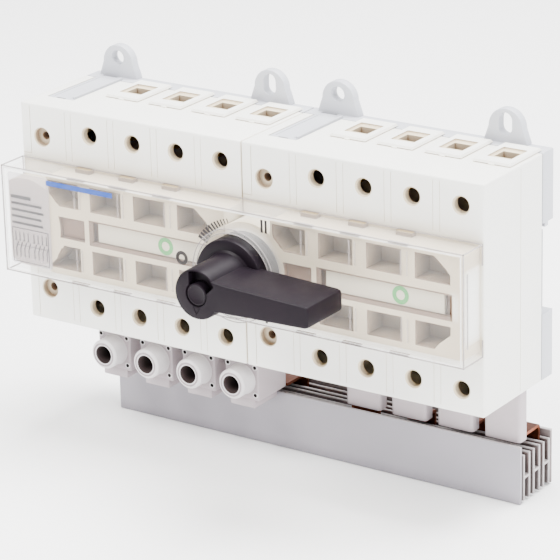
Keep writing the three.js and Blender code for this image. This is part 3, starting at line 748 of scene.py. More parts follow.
def arc_stripe_tree():
    """Printed radial bars round an axis along Y, each narrower and shorter than the one before."""
    tree, inside, outside = new_tree("arc_stripes", [
        ("Material", "NodeSocketMaterial", None),
        ("Count", "NodeSocketInt", 11),
        ("Start Angle", "NodeSocketFloat", 2.69),
        ("End Angle", "NodeSocketFloat", 1.95),
        ("Inner Radius", "NodeSocketFloat", 18.95),
        ("First Outer Radius", "NodeSocketFloat", 23.5),
        ("Last Outer Radius", "NodeSocketFloat", 20.9),
        ("First Width", "NodeSocketFloat", 1.3),
        ("Last Width", "NodeSocketFloat", 0.4),
        ("Ink Thickness", "NodeSocketFloat", 0.05),
    ])
    get = inside.outputs
    points = add(tree, "GeometryNodePoints", Count=get["Count"])
    index = tree.nodes.new("GeometryNodeInputIndex").outputs[0]
    share = math_node(tree, "DIVIDE", index, math_node(tree, "SUBTRACT", get["Count"], 1.0))

    def between(first, last):
        step = math_node(tree, "SUBTRACT", get[last], get[first])
        return math_node(tree, "ADD", get[first], math_node(tree, "MULTIPLY", step, share))

    angle = between("Start Angle", "End Angle")
    outer = between("First Outer Radius", "Last Outer Radius")
    width = between("First Width", "Last Width")
    middle = math_node(tree, "MULTIPLY", math_node(tree, "ADD", outer, get["Inner Radius"]), 0.5)
    length = math_node(tree, "SUBTRACT", outer, get["Inner Radius"])
    place = add(tree, "ShaderNodeCombineXYZ",
                X=math_node(tree, "MULTIPLY", middle, math_node(tree, "COSINE", angle, 0.0)),
                Z=math_node(tree, "MULTIPLY", middle, math_node(tree, "SINE", angle, 0.0)))
    spots = add(tree, "GeometryNodeSetPosition", Geometry=points.outputs[0], Position=place.outputs[0])
    turn = add(tree, "ShaderNodeCombineXYZ", Y=math_node(tree, "MULTIPLY", angle, -1.0))
    scale = add(tree, "ShaderNodeCombineXYZ", X=length, Y=get["Ink Thickness"], Z=width)
    bar = add(tree, "GeometryNodeMeshCube", Size=(1.0, 1.0, 1.0))
    spread = add(tree, "GeometryNodeInstanceOnPoints", Points=spots.outputs[0], Instance=bar.outputs["Mesh"],
                 Rotation=turn.outputs[0], Scale=scale.outputs[0])
    centre = tree.nodes.new("GeometryNodeInstanceOnPoints")
    tree.links.new(get["Geometry"], centre.inputs["Points"])
    tree.links.new(spread.outputs[0], centre.inputs["Instance"])
    close_tree(tree, centre.outputs[0], inside, outside)
    return tree


def points_mesh(name, places, edges=False):
    """A mesh of loose points, or of one path of edges."""
    mesh = bpy.data.meshes.new(name)
    links = [(i, i + 1) for i in range(len(places) - 1)] if edges else []
    mesh.from_pydata(places, links, [])
    obj = bpy.data.objects.new(name, mesh)
    bpy.context.scene.collection.objects.link(obj)
    return obj


# ---------------------------------------------------------------- shapes that several pieces use
def tapered_pad(x0, x1, y0, y1, z0, z1, inset):
    """A raised pad whose sides slope in towards the top by inset."""
    bm = bmesh.new()
    rings = []
    for z, d in ((z0, 0.0), (z1, inset)):
        corners = ((x0 + d, y0 + d), (x1 - d, y0 + d), (x1 - d, y1 - d), (x0 + d, y1 - d))
        rings.append([bm.verts.new((x, y, z)) for x, y in corners])
    bm.faces.new(list(reversed(rings[0])))
    bm.faces.new(rings[1])
    for i in range(4):
        j = (i + 1) % 4
        bm.faces.new((rings[0][i], rings[0][j], rings[1][j], rings[1][i]))
    bmesh.ops.recalc_face_normals(bm, faces=bm.faces)
    return bm


def arc_points(x, z, radius, start, end, count):
    step = (end - start) / (count - 1)
    return [(x + radius * math.cos(math.radians(start + step * i)),
             z + radius * math.sin(math.radians(start + step * i))) for i in range(count)]


POCKET_COLUMNS = ((22.5, 36.8), (43.3, 57.9), (64.7, 79.4), (85.9, 100.5))
POCKET_ROWS = ((56.0, 65.7, 1), (29.7, 39.0, -1))
POCKET_DEPTH = 10.5


def pocket_outline(column, low, high, sign):
    """The outline of one recess of the nose. The first leaves the round end, the last has a cut corner."""
    x0, x1 = POCKET_COLUMNS[column]
    if column == 3:
        if sign > 0:
            return [(x0, low), (x1, low), (x1, high - 6), (x1 - 7, high), (x0, high)]
        return [(x0, low), (x1 - 7, low), (x1, low + 6), (x1, high), (x0, high)]
    if column == 0:
        reach = TURRET_R + 0.6
        edge = [(TURRET_X + math.sqrt(max(reach ** 2 - (z - AXIS_Z) ** 2, 0.0)), z)
                for z in [low + (high - low) * i / 8 for i in range(9)]]
        curved = [(max(x, x0), z) for x, z in reversed(edge)]
        return [(x1, low), (x1, high)] + curved
    return [(x0, low), (x1, low), (x1, high), (x0, high)]


# ---------------------------------------------------------------- cases and bases
def case_shell(number):
    """White front moulding of one switch, hollow, with its nose, terminal holes and cable frames."""
    second = number == "II"
    dx = SHIFT[number]
    x0, x1 = dx + EDGE, dx + PITCH - EDGE
    shell = link_mesh(f"case_shell_{number}", block(x0, x1, 0, CASE_DEPTH, 0, HEIGHT, 0.7, 3), WHITE)
    nose_right = dx + 106 if second else x1
    turret_low = dx + (EDGE if second else 2.0)
    turret = link_mesh("turret", lathe(
        [(0, NOSE_FRONT), (TURRET_R - 0.7, NOSE_FRONT), (TURRET_R - 0.2, NOSE_FRONT + 0.2),
         (TURRET_R, NOSE_FRONT + 0.7), (TURRET_R, 1.0), (0, 1.0)], dx + TURRET_X, AXIS_Z, 96), WHITE)
    boolean(turret, [block(turret_low, dx + 31, NOSE_FRONT - 2, 2, 0, HEIGHT)], "INTERSECT")
    adds = [block(dx + 21, nose_right, NOSE_FRONT, 1.0, NOSE_LOW, NOSE_HIGH, 0.6, 3), loose_mesh(turret)]
    for x in POLE_X:
        px = dx + x
        adds.append(tapered_pad(px - 8, px + 8, 22, 45.9, HEIGHT + 0.3, 93.2, 0.55))
        adds.append(tapered_pad(px - 8, px + 8, 22.02, 43.45, HEIGHT - 1, 93.18, 1.2))
        adds.append(block(px - 1.2, px + 1.2, 21.4, 23, HEIGHT - 0.5, HEIGHT + 0.5, 0.2, 1))
    one_by_one(shell, adds, "UNION", WHITE)
    # Painted shade: the faces that the hollow, holes, recesses and window cut take the darker inside
    # material.
    inner = link_mesh("inside", block(x0 + 2.5, x1 - 2.5, 3, CASE_DEPTH + 1, 2.5, HEIGHT - 2.5), SHADED_INSIDE)
    posts = [lathe([(0, 2), (5.5, 2), (5.5, 40.7), (0, 40.7)], dx + BORE_X, z, 40) for z in BORE_Z]
    boolean(inner, posts, "DIFFERENCE", SHADED_INSIDE)
    boolean(shell, [loose_mesh(inner)], "DIFFERENCE", SHADED_INSIDE)
    holes = []
    for x in POLE_X:
        px = dx + x
        for z in ROW_Z.values():
            holes.append(hole_tool(px, z, 3.2, 0.0, 4.0, 0.6))
        for z0, z1 in ((HEIGHT - 3.5, HEIGHT + 3), (-1, 3.5)):
            holes.append(block(px - ENTRY_HALF, px + ENTRY_HALF, ENTRY_FRONT, ENTRY_REAR, z0, z1))
        holes.append(block(px - 5.2, px + 5.2, 27.6, 40.2, HEIGHT + 0.45, HEIGHT + 3, 0.3, 1))
        holes.append(tapered_pad(px - 4.6, px + 4.6, 29.6, 38.4, -0.3, 1.0, 1.3))
    for z in BORE_Z:
        holes.append(hole_tool(dx + BORE_X, z, 3.7, 0.0, 2.5, 0.4))
        holes.append(hole_tool(dx + BORE_X, z, 1.7, 2.5, CASE_DEPTH, 0.2, 32))
    boolean(shell, holes, "DIFFERENCE", SHADED_INSIDE)
    recesses = [pocket_tool([(dx + px, pz) for px, pz in pocket_outline(i, low, high, sign)],
                            NOSE_FRONT, NOSE_FRONT + POCKET_DEPTH, 0.35, 0.25)
                for low, high, sign in POCKET_ROWS for i in range(4)]
    boolean(shell, recesses, "DIFFERENCE", SHADED_INSIDE)
    end_arc = [(dx + TURRET_X + math.sqrt(17.2 ** 2 - (z - AXIS_Z) ** 2), z)
               for z in (WINDOW_HIGH, 49.5, 47.8, 46.1, 44.4, WINDOW_LOW)]
    window = [
        pocket_tool([(dx + 43, WINDOW_LOW), (dx + 100.5, WINDOW_LOW),
                     (dx + 100.5, WINDOW_HIGH), (dx + 43, WINDOW_HIGH)], NOSE_FRONT, -10.4, 1.1),
        block(dx + 37.4, dx + 104.6, -10.5, -8.3, WINDOW_LOW, WINDOW_HIGH),
        block(dx + 69.6, dx + 91.8, -8.6, 4, 44.2, 49.6),
        pocket_tool([(dx + 39.4, WINDOW_HIGH)] + end_arc + [(dx + 39.4, WINDOW_LOW)],
                    NOSE_FRONT, NOSE_FRONT + 1.75, 0.3, 0.1),
    ]
    boolean(shell, window, "DIFFERENCE", SHADED_INSIDE)
    plain = [
        block(dx + 5.0, dx + 18.2, 11.3, CASE_DEPTH + 1, HEIGHT - 3, HEIGHT + 2),
        block(*((dx - 1, dx + 3.5) if second else (dx + 104.5, dx + 109)), 6, 16, 36.5, 55.5),
    ]
    if second:
        plain.append(lathe([(0, -14), (3.4, -14), (3.4, 4), (0, 4)], dx + TURRET_X, AXIS_Z, 32))
    boolean(shell, plain, "DIFFERENCE", WHITE)
    fine = []
    for k in range(5):
        middle = dx + 23.9 + 21.2 * k
        for offset in (-1.5, 1.5):
            x = middle + offset
            if x < x1 - 1:
                fine += [block(x - 0.11, x + 0.11, -1, 0.14, *span) for span in ((70.5, 90.5), (1.8, 23.5))]
    fine.append(block(dx + 4.55, dx + 4.8, -1, 0.2, 71.0, 90.8))
    fine.append(block(dx - 1, dx + 4.8, -1, 0.25, 70.8, 71.1))
    fine.append(block(dx + 4.55, dx + 4.8, -1, 0.2, 1.2, 22.5))
    if second:
        fine.append(block(x1 - 0.16, x1 + 1, 26.9, 27.2, 1.5, 90.5))
    boolean(shell, fine, "DIFFERENCE", WHITE)
    # The snap hooks take the tan hook material, painted shade in the cover's notches.
    hooks = [block(dx + x - 3.6, dx + x + 3.6, -3.1, 0.5, *span, 0.3, 2)
             for x in HOOK_X for span in ((67.0, 69.1), (24.9, 27.0))]
    boolean(shell, hooks, "UNION", HOOK_SHADE)
    return finish_piece(shell, "root", [f"case_{number}"])


def base_plate(number):
    """Grey rear moulding: rail slot, fixing lugs, snap arm and the land that the rail lies on."""
    second = number == "II"
    dx = SHIFT[number]
    x0, x1 = dx + EDGE, dx + PITCH - EDGE
    plate = link_mesh(f"rear_base_{number}", block(x0, x1, 43.8, 52, 0, HEIGHT, 0.5, 2), GREY)
    parts = [
        block(x0 + 2.8, x1 - 2.8, 41, 44.2, 2.8, HEIGHT - 2.8, 0.3, 1),
        block(dx + 5.3, dx + 17.9, 11.6, 44.5, HEIGHT - 2.2, HEIGHT, 0.25, 2),
        block(dx + 16.9, dx + 17.7, 13.0, 45.0, HEIGHT - 1, HEIGHT + 0.9, 0.25, 2),
    ]
    if second:
        parts.append(lathe([(0, 36), (5.6, 36), (6, 36.4), (6, 42), (0, 42)], dx + TURRET_X, AXIS_Z, 48))
    for x, slotted in ((13.4, False), (89.0, True)):
        arch = arc_points(dx + x, 98.0, 7.5, 0, 180, 17)
        shape = [(dx + x - 9.5, 90), (dx + x + 9.5, 90), (dx + x + 9.5, 92.5)] + arch
        shape += [(dx + x - 9.5, 92.5)]
        for mirrored in (False, True):
            points = [(px, HEIGHT - pz) for px, pz in reversed(shape)] if mirrored else shape
            parts.append(prism(points, 48, 52, 0.45))
    one_by_one(plate, parts, "UNION", GREY)
    tools = [
        block(dx - 1, dx + 109, 44, 53, 27.2, 64),
        block(dx - 1, dx + 109, 43.5, 45, 27.2, 29.7),
        block(dx - 1, dx + 109, 43.5, 45, 61.8, 64),
        block(dx + 45.7, dx + 62.3, 45.2, 48.3, -20, 30),
        block(dx + 48.7, dx + 59.3, 45.5, 53, -20, 30),
        block(dx + 6.3, dx + 13.6, 46.5, 47.9, HEIGHT - 3, HEIGHT + 1),
        block(dx + 9.5, dx + 14.0, 11.0, 12.4, HEIGHT - 1.2, HEIGHT + 1),
        block(dx + 7.1, dx + 7.4, 13.5, 43, HEIGHT - 0.35, HEIGHT + 1),
        block(dx + 15.6, dx + 15.9, 13.5, 43, HEIGHT - 0.35, HEIGHT + 1),
    ]
    boolean(plate, tools, "DIFFERENCE", GREY)
    dark_holes = [lathe([(0, 30), (1.7, 30), (1.7, 53), (0, 53)], dx + BORE_X, z, 32) for z in BORE_Z]
    for sign in (1, -1):
        middle = AXIS_Z + sign * (100.2 - AXIS_Z)
        dark_holes.append(lathe([(0, 47), (3.35, 47.3), (2.85, 48.5), (2.85, 51.5), (3.35, 53), (0, 53)],
                                dx + 13.4, middle, 40))
        low, high = sorted(AXIS_Z + sign * (z - AXIS_Z) for z in (98.0, 101.0))
        outline = arc_points(dx + 89, high, 2.95, 0, 180, 17) + arc_points(dx + 89, low, 2.95, 180, 360, 17)
        dark_holes.append(prism(outline, 47, 53))
    if second:
        dark_holes.append(lathe([(0, 35), (3.15, 35), (3.15, 42.5), (0, 42.5)], dx + TURRET_X, AXIS_Z, 32))
    boolean(plate, dark_holes, "DIFFERENCE", GREY)
    boolean(plate, [block(x0, x1, 45.5, 48, 62.2, 65, 0.2, 1)], "UNION", GREY)
    return finish_piece(plate, "root", [f"base_{number}"])


# ---------------------------------------------------------------- clear cover, card and printed marks
def clear_cover():
    """Clear front plate over both noses, with its collar round the handle."""
    front, wall, top, low, left, right = COVER_FRONT, 1.5, COVER_TOP, COVER_LOW, COVER_LEFT, COVER_RIGHT
    cover = link_mesh("clear_front_cover", block(left, right, front, front + wall, low, top),
                      CLEAR, CLEAR_EDGE_SHADE)
    parts = [
        block(left, right, front, COVER_BACK, top - wall, top),
        block(left, right, front, COVER_BACK, low, low + wall),
        lathe([(0, COLLAR_FRONT), (COLLAR_R, COLLAR_FRONT), (COLLAR_R, front + 1), (0, front + 1)],
              AXIS_X, AXIS_Z, 96),
    ]
    for x in (left, right - wall):
        for depth, z0, z1 in ((COVER_BACK, 61, top), (COVER_BACK, low, 31.5), (-11.7, 30, 62)):
            parts.append(block(x, x + wall, front, depth, z0, z1))
    one_by_one(cover, parts)
    tools = [
        lathe([(0, -24), (COLLAR_BORE, -24), (COLLAR_BORE, front), (0, front)], AXIS_X, AXIS_Z, 96),
        lathe([(0, front - 1), (16, front - 1), (16, front + 3), (0, front + 3)], AXIS_X, AXIS_Z, 96),
        block(209, 212, front - 1, front + 3, 42, 52.5),
    ]
    tools += [block(dx + x - 4, dx + x + 4, -3.4, 1, z - 2, z + 2)
              for dx in SHIFT.values() for x in HOOK_X for z in (low, top)]
    boolean(cover, tools)
    # The rounded edges take the dark clear edge material as painted shade.
    rounded(cover, 0.26, 40, material=1)
    return finish_piece(cover, "root", ["clear_cover"])


def cover_ribs():
    """Pairs of thin clear ribs inside the cover, between the recesses, and lines of painted shade at its
    notches.
    """
    rib = 0.5
    ribs = [block(dx + x, dx + x + rib, -13.05, -12.4, low, high, 0.12, 1)
            for dx in SHIFT.values() for x0, x1 in ((35.2, 38.4), (56.8, 59.8), (79.5, 82.7))
            for low, high, _ in POCKET_ROWS for x in (x0, x1 - rib)]
    fixed_piece("cover_ribs", joined(ribs), CLEAR_RIB)
    # Painted shade: brown bars at the cover's notches.
    notches = [block(dx + x, dx + x + 8.6, COVER_FRONT, -13.3, *span, 0.12, 1)
               for dx in SHIFT.values() for x in (33.5, 54.3, 75.4)
               for span in ((68.25, 69.3), (24.7, 25.65))]
    fixed_piece("cover_notch_painted_shade", joined(notches), CLEAR_NOTCH_SHADE)


def cover_rim_painted_light():
    """The cover's edges, where the clear sheet is seen end on: a dark line of painted shade and a painted
    highlight beside it.
    """
    inset, line = 0.02, 0.42
    front, back = COVER_FRONT + inset, COVER_BACK - inset
    low, high, left, right = COVER_LOW + inset, COVER_TOP - inset, COVER_LEFT + inset, COVER_RIGHT - inset
    dark = [
        block(left, right, front, front + line, high - line, high),
        block(left, right, front, front + line, low, low + line),
        block(left, right, back - line, back, high - line, high),
        block(right - line, right, front + 2.9, front + 2.9 + line, 31.5, 61.0),
    ]
    for x in (left, right - line):
        dark.append(block(x, x + line, front, front + line, low, high))
        for z0, z1 in ((low, 31.5), (61.0, high)):
            dark.append(block(x, x + line, back - line, back, z0, z1))
        for z in (low, high - line):
            dark.append(block(x, x + line, front, back, z, z + line))
    for outer, inner in ((18.78, 18.45), (17.1, 16.82)):
        dark.append(closed_lathe([(outer, -22.58), (outer, -22.3), (inner, -22.3), (inner, -22.58)],
                                 AXIS_X, AXIS_Z, 96))
    fixed_piece("cover_rim_painted_light", joined(dark), CLEAR_EDGE_SHADE)
    # Painted highlight: bright bars just inside the dark edge lines.
    bright = [block(x0, x1, front - 0.015, front + 0.2, z0, z1) for x0, x1, z0, z1 in (
        (left + 1, right - 1, high - 1.15, high - 0.6), (left + 1, right - 1, low + 0.6, low + 1.05),
        (right - 1.5, right - 1.0, low + 1, high - 1), (left + 1.0, left + 1.5, low + 1, high - 1))]
    fixed_piece("cover_painted_highlight", joined(bright), CLEAR_HIGHLIGHT)


def card_with_diagram():
    """Circuit card behind the cover: a sheet with two rows of contact symbols and plain caption bars."""
    back = COVER_FRONT + 1.6
    outline = (arc_points(21.7, 65.5, 1, 0, 90, 5) + arc_points(3.2, 65.5, 1, 90, 180, 5)
               + arc_points(3.2, 29, 1, 180, 270, 5) + arc_points(21.7, 29, 1, 270, 360, 5))
    fixed_piece("circuit_card", prism(outline, back, back + 0.3), CARD, ["diagram_card"])
    ink = []

    def line(x0, z0, x1, z1, width):
        along = Vector((x1 - x0, 0, z1 - z0))
        side = Vector((-along.z, 0, along.x)).normalized() * width / 2
        start, end = Vector((x0, 0, z0)), Vector((x1, 0, z1))
        ends = [start + side, start - side, end - side, end + side]
        ink.append(prism([(p.x, p.z) for p in ends], back - INK_PROUD, back - 0.01))

    for row, length in enumerate((10.0, 15.4, 16.2, 15.0, 15.8)):
        line(3.4, 56.4 - 2.75 * row, 3.4 + length, 56.4 - 2.75 * row, 1.4 if row == 0 else 1.0)
    for x0, z0, x1, z1 in ((3.2, 28.9, 21.4, 28.9), (21.4, 28.9, 21.4, 43.2), (21.4, 43.2, 3.2, 43.2),
                           (3.2, 43.2, 3.2, 28.9)):
        line(x0, z0, x1, z1, 0.32)
    for k in range(8):
        x = 4.8 + 2.1 * k + (0.9 if k > 3 else 0.0)
        line(x, 31.0, x, 34.4, 0.42)
        line(x, 34.4, x + 1.1, 37.4, 0.42)
        line(x, 38.0, x, 41.6, 0.42)
        line(x - 0.5, 38.0, x + 0.5, 38.0, 0.34)
    line(4.8, 36.0, 20.6, 36.0, 0.2)
    fixed_piece("circuit_card_print", joined(ink), CARD_INK)


def cover_marks():
    """Position marks printed on the cover: a ring for off, two bars, one bar and the arc between them."""
    y = COVER_FRONT
    proud = y - INK_PROUD
    parts = [closed_lathe([(2.85, y), (2.85, proud), (1.35, proud), (1.35, y)], 88.9, 45.6, 48)]
    for x0, x1, z0, z1 in ((126.5, 127.5, 62.5, 67.7), (128.4, 129.4, 62.5, 67.7),
                           (127.6, 128.7, 26.0, 30.4)):
        parts.append(block(x0, x1, proud, y, z0, z1))
    fixed_piece("position_marks", joined(parts), INK)
    fixed_piece("plain_blue_strip", block(23.0, 56.0, proud, y, 64.3, 66.4, 0.02, 1), BLUE_INK)
    arc = points_mesh("turning_arc", [(AXIS_X, y - INK_PROUD / 2, AXIS_Z)])
    grow(arc_stripe_tree(), arc, Material=INK)
    finish_piece(arc, "root")


# ---------------------------------------------------------------- handle and mechanism
def handle_piece():
    """Rotary handle: hub disc, boss and lever, with the recess of the locking button."""
    front, rear = HANDLE_FRONT, -23.0
    hub = link_mesh("rotary_handle", lathe(
        [(0, -12.9), (14.9, -12.9), (15.3, -13.3), (15.3, -24.6), (15.0, -25.3), (14.2, -25.7), (0, -25.7)],
        AXIS_X, AXIS_Z, 96), DARK)
    boss = lathe([(0, front), (9.0, front), (9.7, front + 0.3), (10, front + 1.0), (10, -28.2),
                  (10.5, -26.4), (11.6, -25.5), (11.6, -24), (0, -24)], AXIS_X, AXIS_Z, 96)
    lever = prism([
        (AXIS_X, 53.1), (AXIS_X + 7, 52.7), (AXIS_X + 12, 52.0), (166.9, 50.4), (168.2, 49.9), (168.6, 48.8),
        (168.6, 43.2), (168.2, 42.1), (167.0, 41.6), (AXIS_X + 12, 40.6), (AXIS_X, 39.6)], front, rear)
    edges = [e for e in lever.edges
             if max(v.co.y for v in e.verts) < front + 0.01 or min(v.co.y for v in e.verts) > rear - 0.01]
    soften(lever, edges, 1.0, 3, 0.55)
    one_by_one(hub, (boss, lever))
    wedge = [(AXIS_X - 3.3, AXIS_Z)] + arc_points(AXIS_X, AXIS_Z, 9.3, 110, 28, 14)
    wedge.append((AXIS_X + 4.2, AXIS_Z + 0.5))
    tools = [
        prism(list(reversed(wedge)), front - 1, -42.7),
        lathe([(0, front - 1), (5.3, front - 1), (4.7, front + 0.25), (4.7, -29), (0, -29)],
              AXIS_X, AXIS_Z, 64),
        lathe([(0, -24.7), (3.1, -24.7), (3.1, -12), (0, -12)], AXIS_X, AXIS_Z, 40),
    ]
    for x0, z0, x1, z1 in ((-1.5, 41.2, 1.5, 41.2), (1.5, 41.2, 0, 38.3), (0, 38.3, -1.5, 41.2)):
        along = Vector((x1 - x0, 0, z1 - z0))
        side = Vector((-along.z, 0, along.x)).normalized() * 0.16
        groove = [(x0 - side.x, z0 - side.z), (x1 - side.x, z1 - side.z),
                  (x1 + side.x, z1 + side.z), (x0 + side.x, z0 + side.z)]
        tools.append(prism([(AXIS_X + x, z) for x, z in groove], front - 1, front + 0.2))
    one_by_one(hub, tools, "DIFFERENCE")
    return finish_piece(hub, "handle", ["handle"])


def lock_button():
    """Spring-loaded locking button in the middle of the handle."""
    profile = [(0, -45.9), (3.3, -45.95), (3.7, -46.2), (4.0, -46.2), (4.3, -46.05), (4.4, -45.7),
               (4.4, -36.4), (4.0, -36), (0, -36)]
    button = link_mesh("locking_button", lathe(profile, AXIS_X, AXIS_Z, 64), DARK)
    return finish_piece(button, "plunger", ["lock_plunger"])


def button_spring():
    """Coil behind the locking button."""
    spring = points_mesh("button_spring", [(AXIS_X, -35.3, AXIS_Z)])
    grow(coil_spring_tree(), spring, Material=STEEL, Length=5.6, Turns=4.5)
    finish_piece(spring, "handle", ["plunger_spring"], 60)
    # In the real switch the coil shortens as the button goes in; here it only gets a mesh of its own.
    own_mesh(spring)


def clamp_screws():
    """All sixteen clamping screws, as one piece."""
    places = [(dx + x, 13.75, z) for dx in SHIFT.values() for x in POLE_X for z in ROW_Z.values()]
    screws = points_mesh("clamp_screws", places)
    grow(clamp_screw_tree(), screws, Material=PLATED)
    names = [f"clamp_screw_{n}_{p}_{r}" for n in SHIFT for p in POLES for r in ROW_Z]
    return finish_piece(screws, "root", names)


def slider_rings():
    """Green ring on each sliding flag, which shows the switch's state."""
    for number, dx in SHIFT.items():
        ring = closed_lathe([(3.6, -10.2), (3.6, -10.32), (1.9, -10.32), (1.9, -10.2)], dx + 78.0, 47.0, 40)
        finish_piece(link_mesh(f"state_ring_{number}", ring, GREEN_INK), f"carriage_{number}")


# ---------------------------------------------------------------- cable adapters and busbar
def cable_adapter(k):
    """Adapter box under one pole, with the sleeve that the load cable enters."""
    x, z = POLE_X[k], -11.5
    box = link_mesh(f"adapter_box_{POLES[k]}", block(x - 8, x + 8, 10, 29.6, -20, -0.3, 0.7, 3), WARM_GREY)
    parts = [
        block(x - 6, x + 6, 10, 26, -23.3, -19, 0.5, 2),
        lathe([(0, 2.5), (5.5, 2.5), (6.15, 3.2), (6.15, 9.2), (6.7, 10.2), (6.7, 11), (0, 11)], x, z, 64),
    ]
    for part, material in zip(parts, (WARM_GREY, SLEEVE_FACE)):
        boolean(box, [part], "UNION", material)
    boolean(box, [closed_lathe([(5.15, 2.0), (5.0, 2.75), (4.35, 2.75), (4.2, 2.0)], x, z, 64)],
            "DIFFERENCE", WARM_GREY)
    # Painted shade: the walls of the sleeve's bore, the cable hole and, below, the corner screw holes take
    # the near-black deep shade material.
    tools = [lathe([(0, 1), (4.6, 1), (3.45, 3.3), (3.45, 26), (0, 26)], x, z, 48),
             lathe([(0, z), (2.5, z), (2.5, 1), (0, 1)], x, 0, 24, "Z", 22.0)]
    boolean(box, tools, "DIFFERENCE", DEEP_SHADE)
    corners = [(x + side * 6.5, height) for side in (-1, 1) for height in (-5.6, -17.4)]
    boolean(box, [closed_lathe([(1.25, 9.75), (1.25, 11), (0.8, 11), (0.8, 9.75)], *spot, 24)
                  for spot in corners], "UNION", SLEEVE_FACE)
    boolean(box, [lathe([(0, 9), (0.8, 9), (0.8, 13), (0, 13)], *spot, 24) for spot in corners],
            "DIFFERENCE", DEEP_SHADE)
    return finish_piece(box, "root", [f"cable_adapter_{POLES[k]}"])


def prong_cover(k):
    """Cover over one busbar prong of the second switch, with rounded front corners."""
    low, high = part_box(f"prong_cover_{POLES[k]}")
    inverse = TO_ROW.inverted()
    a, b = inverse @ low, inverse @ high
    cover = link_mesh(f"prong_sleeve_{POLES[k]}", block(
        a.x, b.x, a.y, b.y, a.z, b.z, 1.4, 4,
        lambda e: abs(e.verts[0].co.z - e.verts[1].co.z) > 1 and min(v.co.y for v in e.verts) < a.y + 0.1,
    ), WARM_GREY)
    x, y = (a.x + b.x) / 2, (a.y + b.y) / 2
    # Painted shade: the slots in the sleeve take the near-black deep shade material.
    boolean(cover, [block(x - 2.8, x + 2.8, y - 0.9, y + 0.9, a.z - 1, b.z + 1),
                    block(x - 6.8, x + 6.8, y - 0.9, b.y + 1, a.z - 1, -19.7),
                    block(x - 2.2, x + 2.2, a.y - 1, a.y + 0.6, b.z - 2.6, b.z - 1.6)], "DIFFERENCE", DEEP_SHADE)
    rounded(cover, 0.3, 50)
    return finish_piece(cover, "root", [f"prong_cover_{POLES[k]}"])


RIB_PAIRS = ((29.6, 33.9), (37.3, 41.6), (44.9, 49.2))


def busbar_comb():
    """Insulating housing of the busbar: front and rear plates and three pairs of thin walls."""
    left, right, front, rear, bottom, top, skin = 22.9, 216.0, 27.0, 52.0, -45.9, -21.9, 1.4
    comb = link_mesh("busbar_comb", block(left, right, front, front + skin, bottom, top, 0.4, 2), RAIL_GREY)
    lip = 0.7
    # The rear plate, walls and floor take the darker grey as painted shade; the lips on the top and end
    # edges take the lighter grey as painted highlight, as do the bridge clips between each pair of walls.
    parts = [
        (block(left + 0.1, right - 0.1, front + 0.1, front + skin - 0.1, top - lip, top, 0.2, 2), RIB_HIGHLIGHT_AND_CLIPS),
        (block(left, right, rear - skin, rear, bottom + 0.4, top - 0.9, 0.35, 2), RIB_SHADE),
        (block(left, right, rear - skin, rear, top - 0.9 - lip, top - 0.9, 0.2, 2), RIB_HIGHLIGHT_AND_CLIPS),
        (block(left, left + skin, front + 0.5, rear - 0.5, bottom + 0.4, -26, 0.3, 2), RAIL_GREY),
        (block(left, right - 4, front + 0.5, rear - 0.5, bottom + 0.4, bottom + 2), RIB_SHADE),
    ]
    for pair in RIB_PAIRS:
        for y in pair:
            parts.append((block(left + 0.5, right - 0.1, y, y + 1, bottom + 0.8, -26.2, 0.2, 2), RIB_SHADE))
            for x0, x1, z0 in ((left + 0.5, right - 0.1, -26 - lip), (right - lip, right, bottom + 0.8)):
                parts.append((block(x0, x1, y - 0.05, y + 1.05, z0, -26, 0.2, 2), RIB_HIGHLIGHT_AND_CLIPS))
        parts.append((block(left + 0.5, right, pair[0] + 0.5, pair[1] + 0.5, -36, -35), RIB_HIGHLIGHT_AND_CLIPS))
    for part, material in parts:
        boolean(comb, [part], "UNION", material)
    return finish_piece(comb, "root", ["busbar_housing"])


BAR_LAYERS = (32.3, 39.9, 43.8, 47.6)


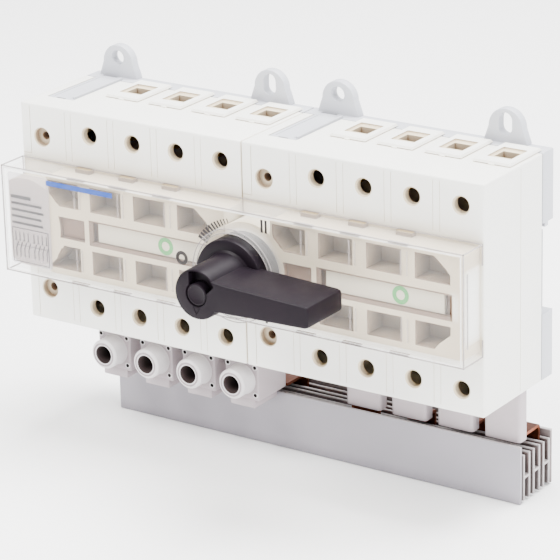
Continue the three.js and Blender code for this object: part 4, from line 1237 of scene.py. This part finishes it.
def conductor(k, strip_tree):
    """One copper conductor: a flat bar in the comb and a bent prong up to each switch."""
    y, tongue = BAR_LAYERS[k], 32.5
    bar = link_mesh("bar", block(26, 214.5, y - 0.8, y + 0.8, -34.6, -27.5, 0.25, 2), COPPER)
    parts = [bar]
    for dx in SHIFT.values():
        x = dx + POLE_X[k]
        riser = [(x, y, -28.6), (x, y, -20.6)]
        if abs(y - tongue) > 1:
            riser.append((x, tongue, -20.6))
        for path, width in ((riser, 13.0), ([(x, tongue, -20.9), (x, tongue, 12.0)], 5.0)):
            strip = points_mesh("strip", path, True)
            grow(strip_tree, strip, Material=COPPER, Width=width, Thickness=1.2, Bend=0.7)
            parts.append(strip)
    whole = joined([loose_mesh(part) for part in parts])
    return fixed_piece(f"copper_conductor_{POLES[k]}", whole, COPPER, [f"busbar_{POLES[k]}"])


def paint_kept_nodes():
    """Nodes whose CAD shape is right keep it and take a finish."""
    finishes = {"handle_shaft": STEEL, "drive_pinion": STEEL, "carriage_I": SLIDER, "carriage_II": SLIDER,
                "rail_clip_I": GREY, "rail_clip_II": GREY}
    finishes.update((f"terminal_{n}_{p}_{r}", BRASS) for n in SHIFT for p in POLES for r in ROW_Z)
    for name, material in finishes.items():
        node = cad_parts[name]
        for slot in node.material_slots:
            slot.material = material


def floor():
    """Pale plain ground just below the object."""
    bm = bmesh.new()
    bmesh.ops.create_grid(bm, x_segments=2, y_segments=2, size=3.0)
    bm.transform(Matrix.Translation((0.0, 0.0, cad_bounds[0][2] - 0.0002)))
    material, tree, shader = blank_material("pale_floor")
    place = tree.nodes.new("ShaderNodeTexCoord").outputs["Object"]
    shade = noise_node(tree, place, 6.0, 2.0)
    tree.links.new(mix_colours(tree, shade, (0.93, 0.93, 0.93, 1), (0.96, 0.96, 0.96, 1)),
                   shader.inputs["Base Color"])
    shader.inputs["Roughness"].default_value = 0.8
    ground = link_mesh("floor", bm, material)


make_camera()
make_studio()
floor()
for number in SHIFT:
    case_shell(number)
    base_plate(number)
clear_cover()
cover_ribs()
cover_rim_painted_light()
card_with_diagram()
cover_marks()
handle_piece()
lock_button()
button_spring()
clamp_screws()
slider_rings()
strip_tree = bent_strip_tree()
for k in range(len(POLES)):
    cable_adapter(k)
    prong_cover(k)
    conductor(k, strip_tree)
busbar_comb()
paint_kept_nodes()
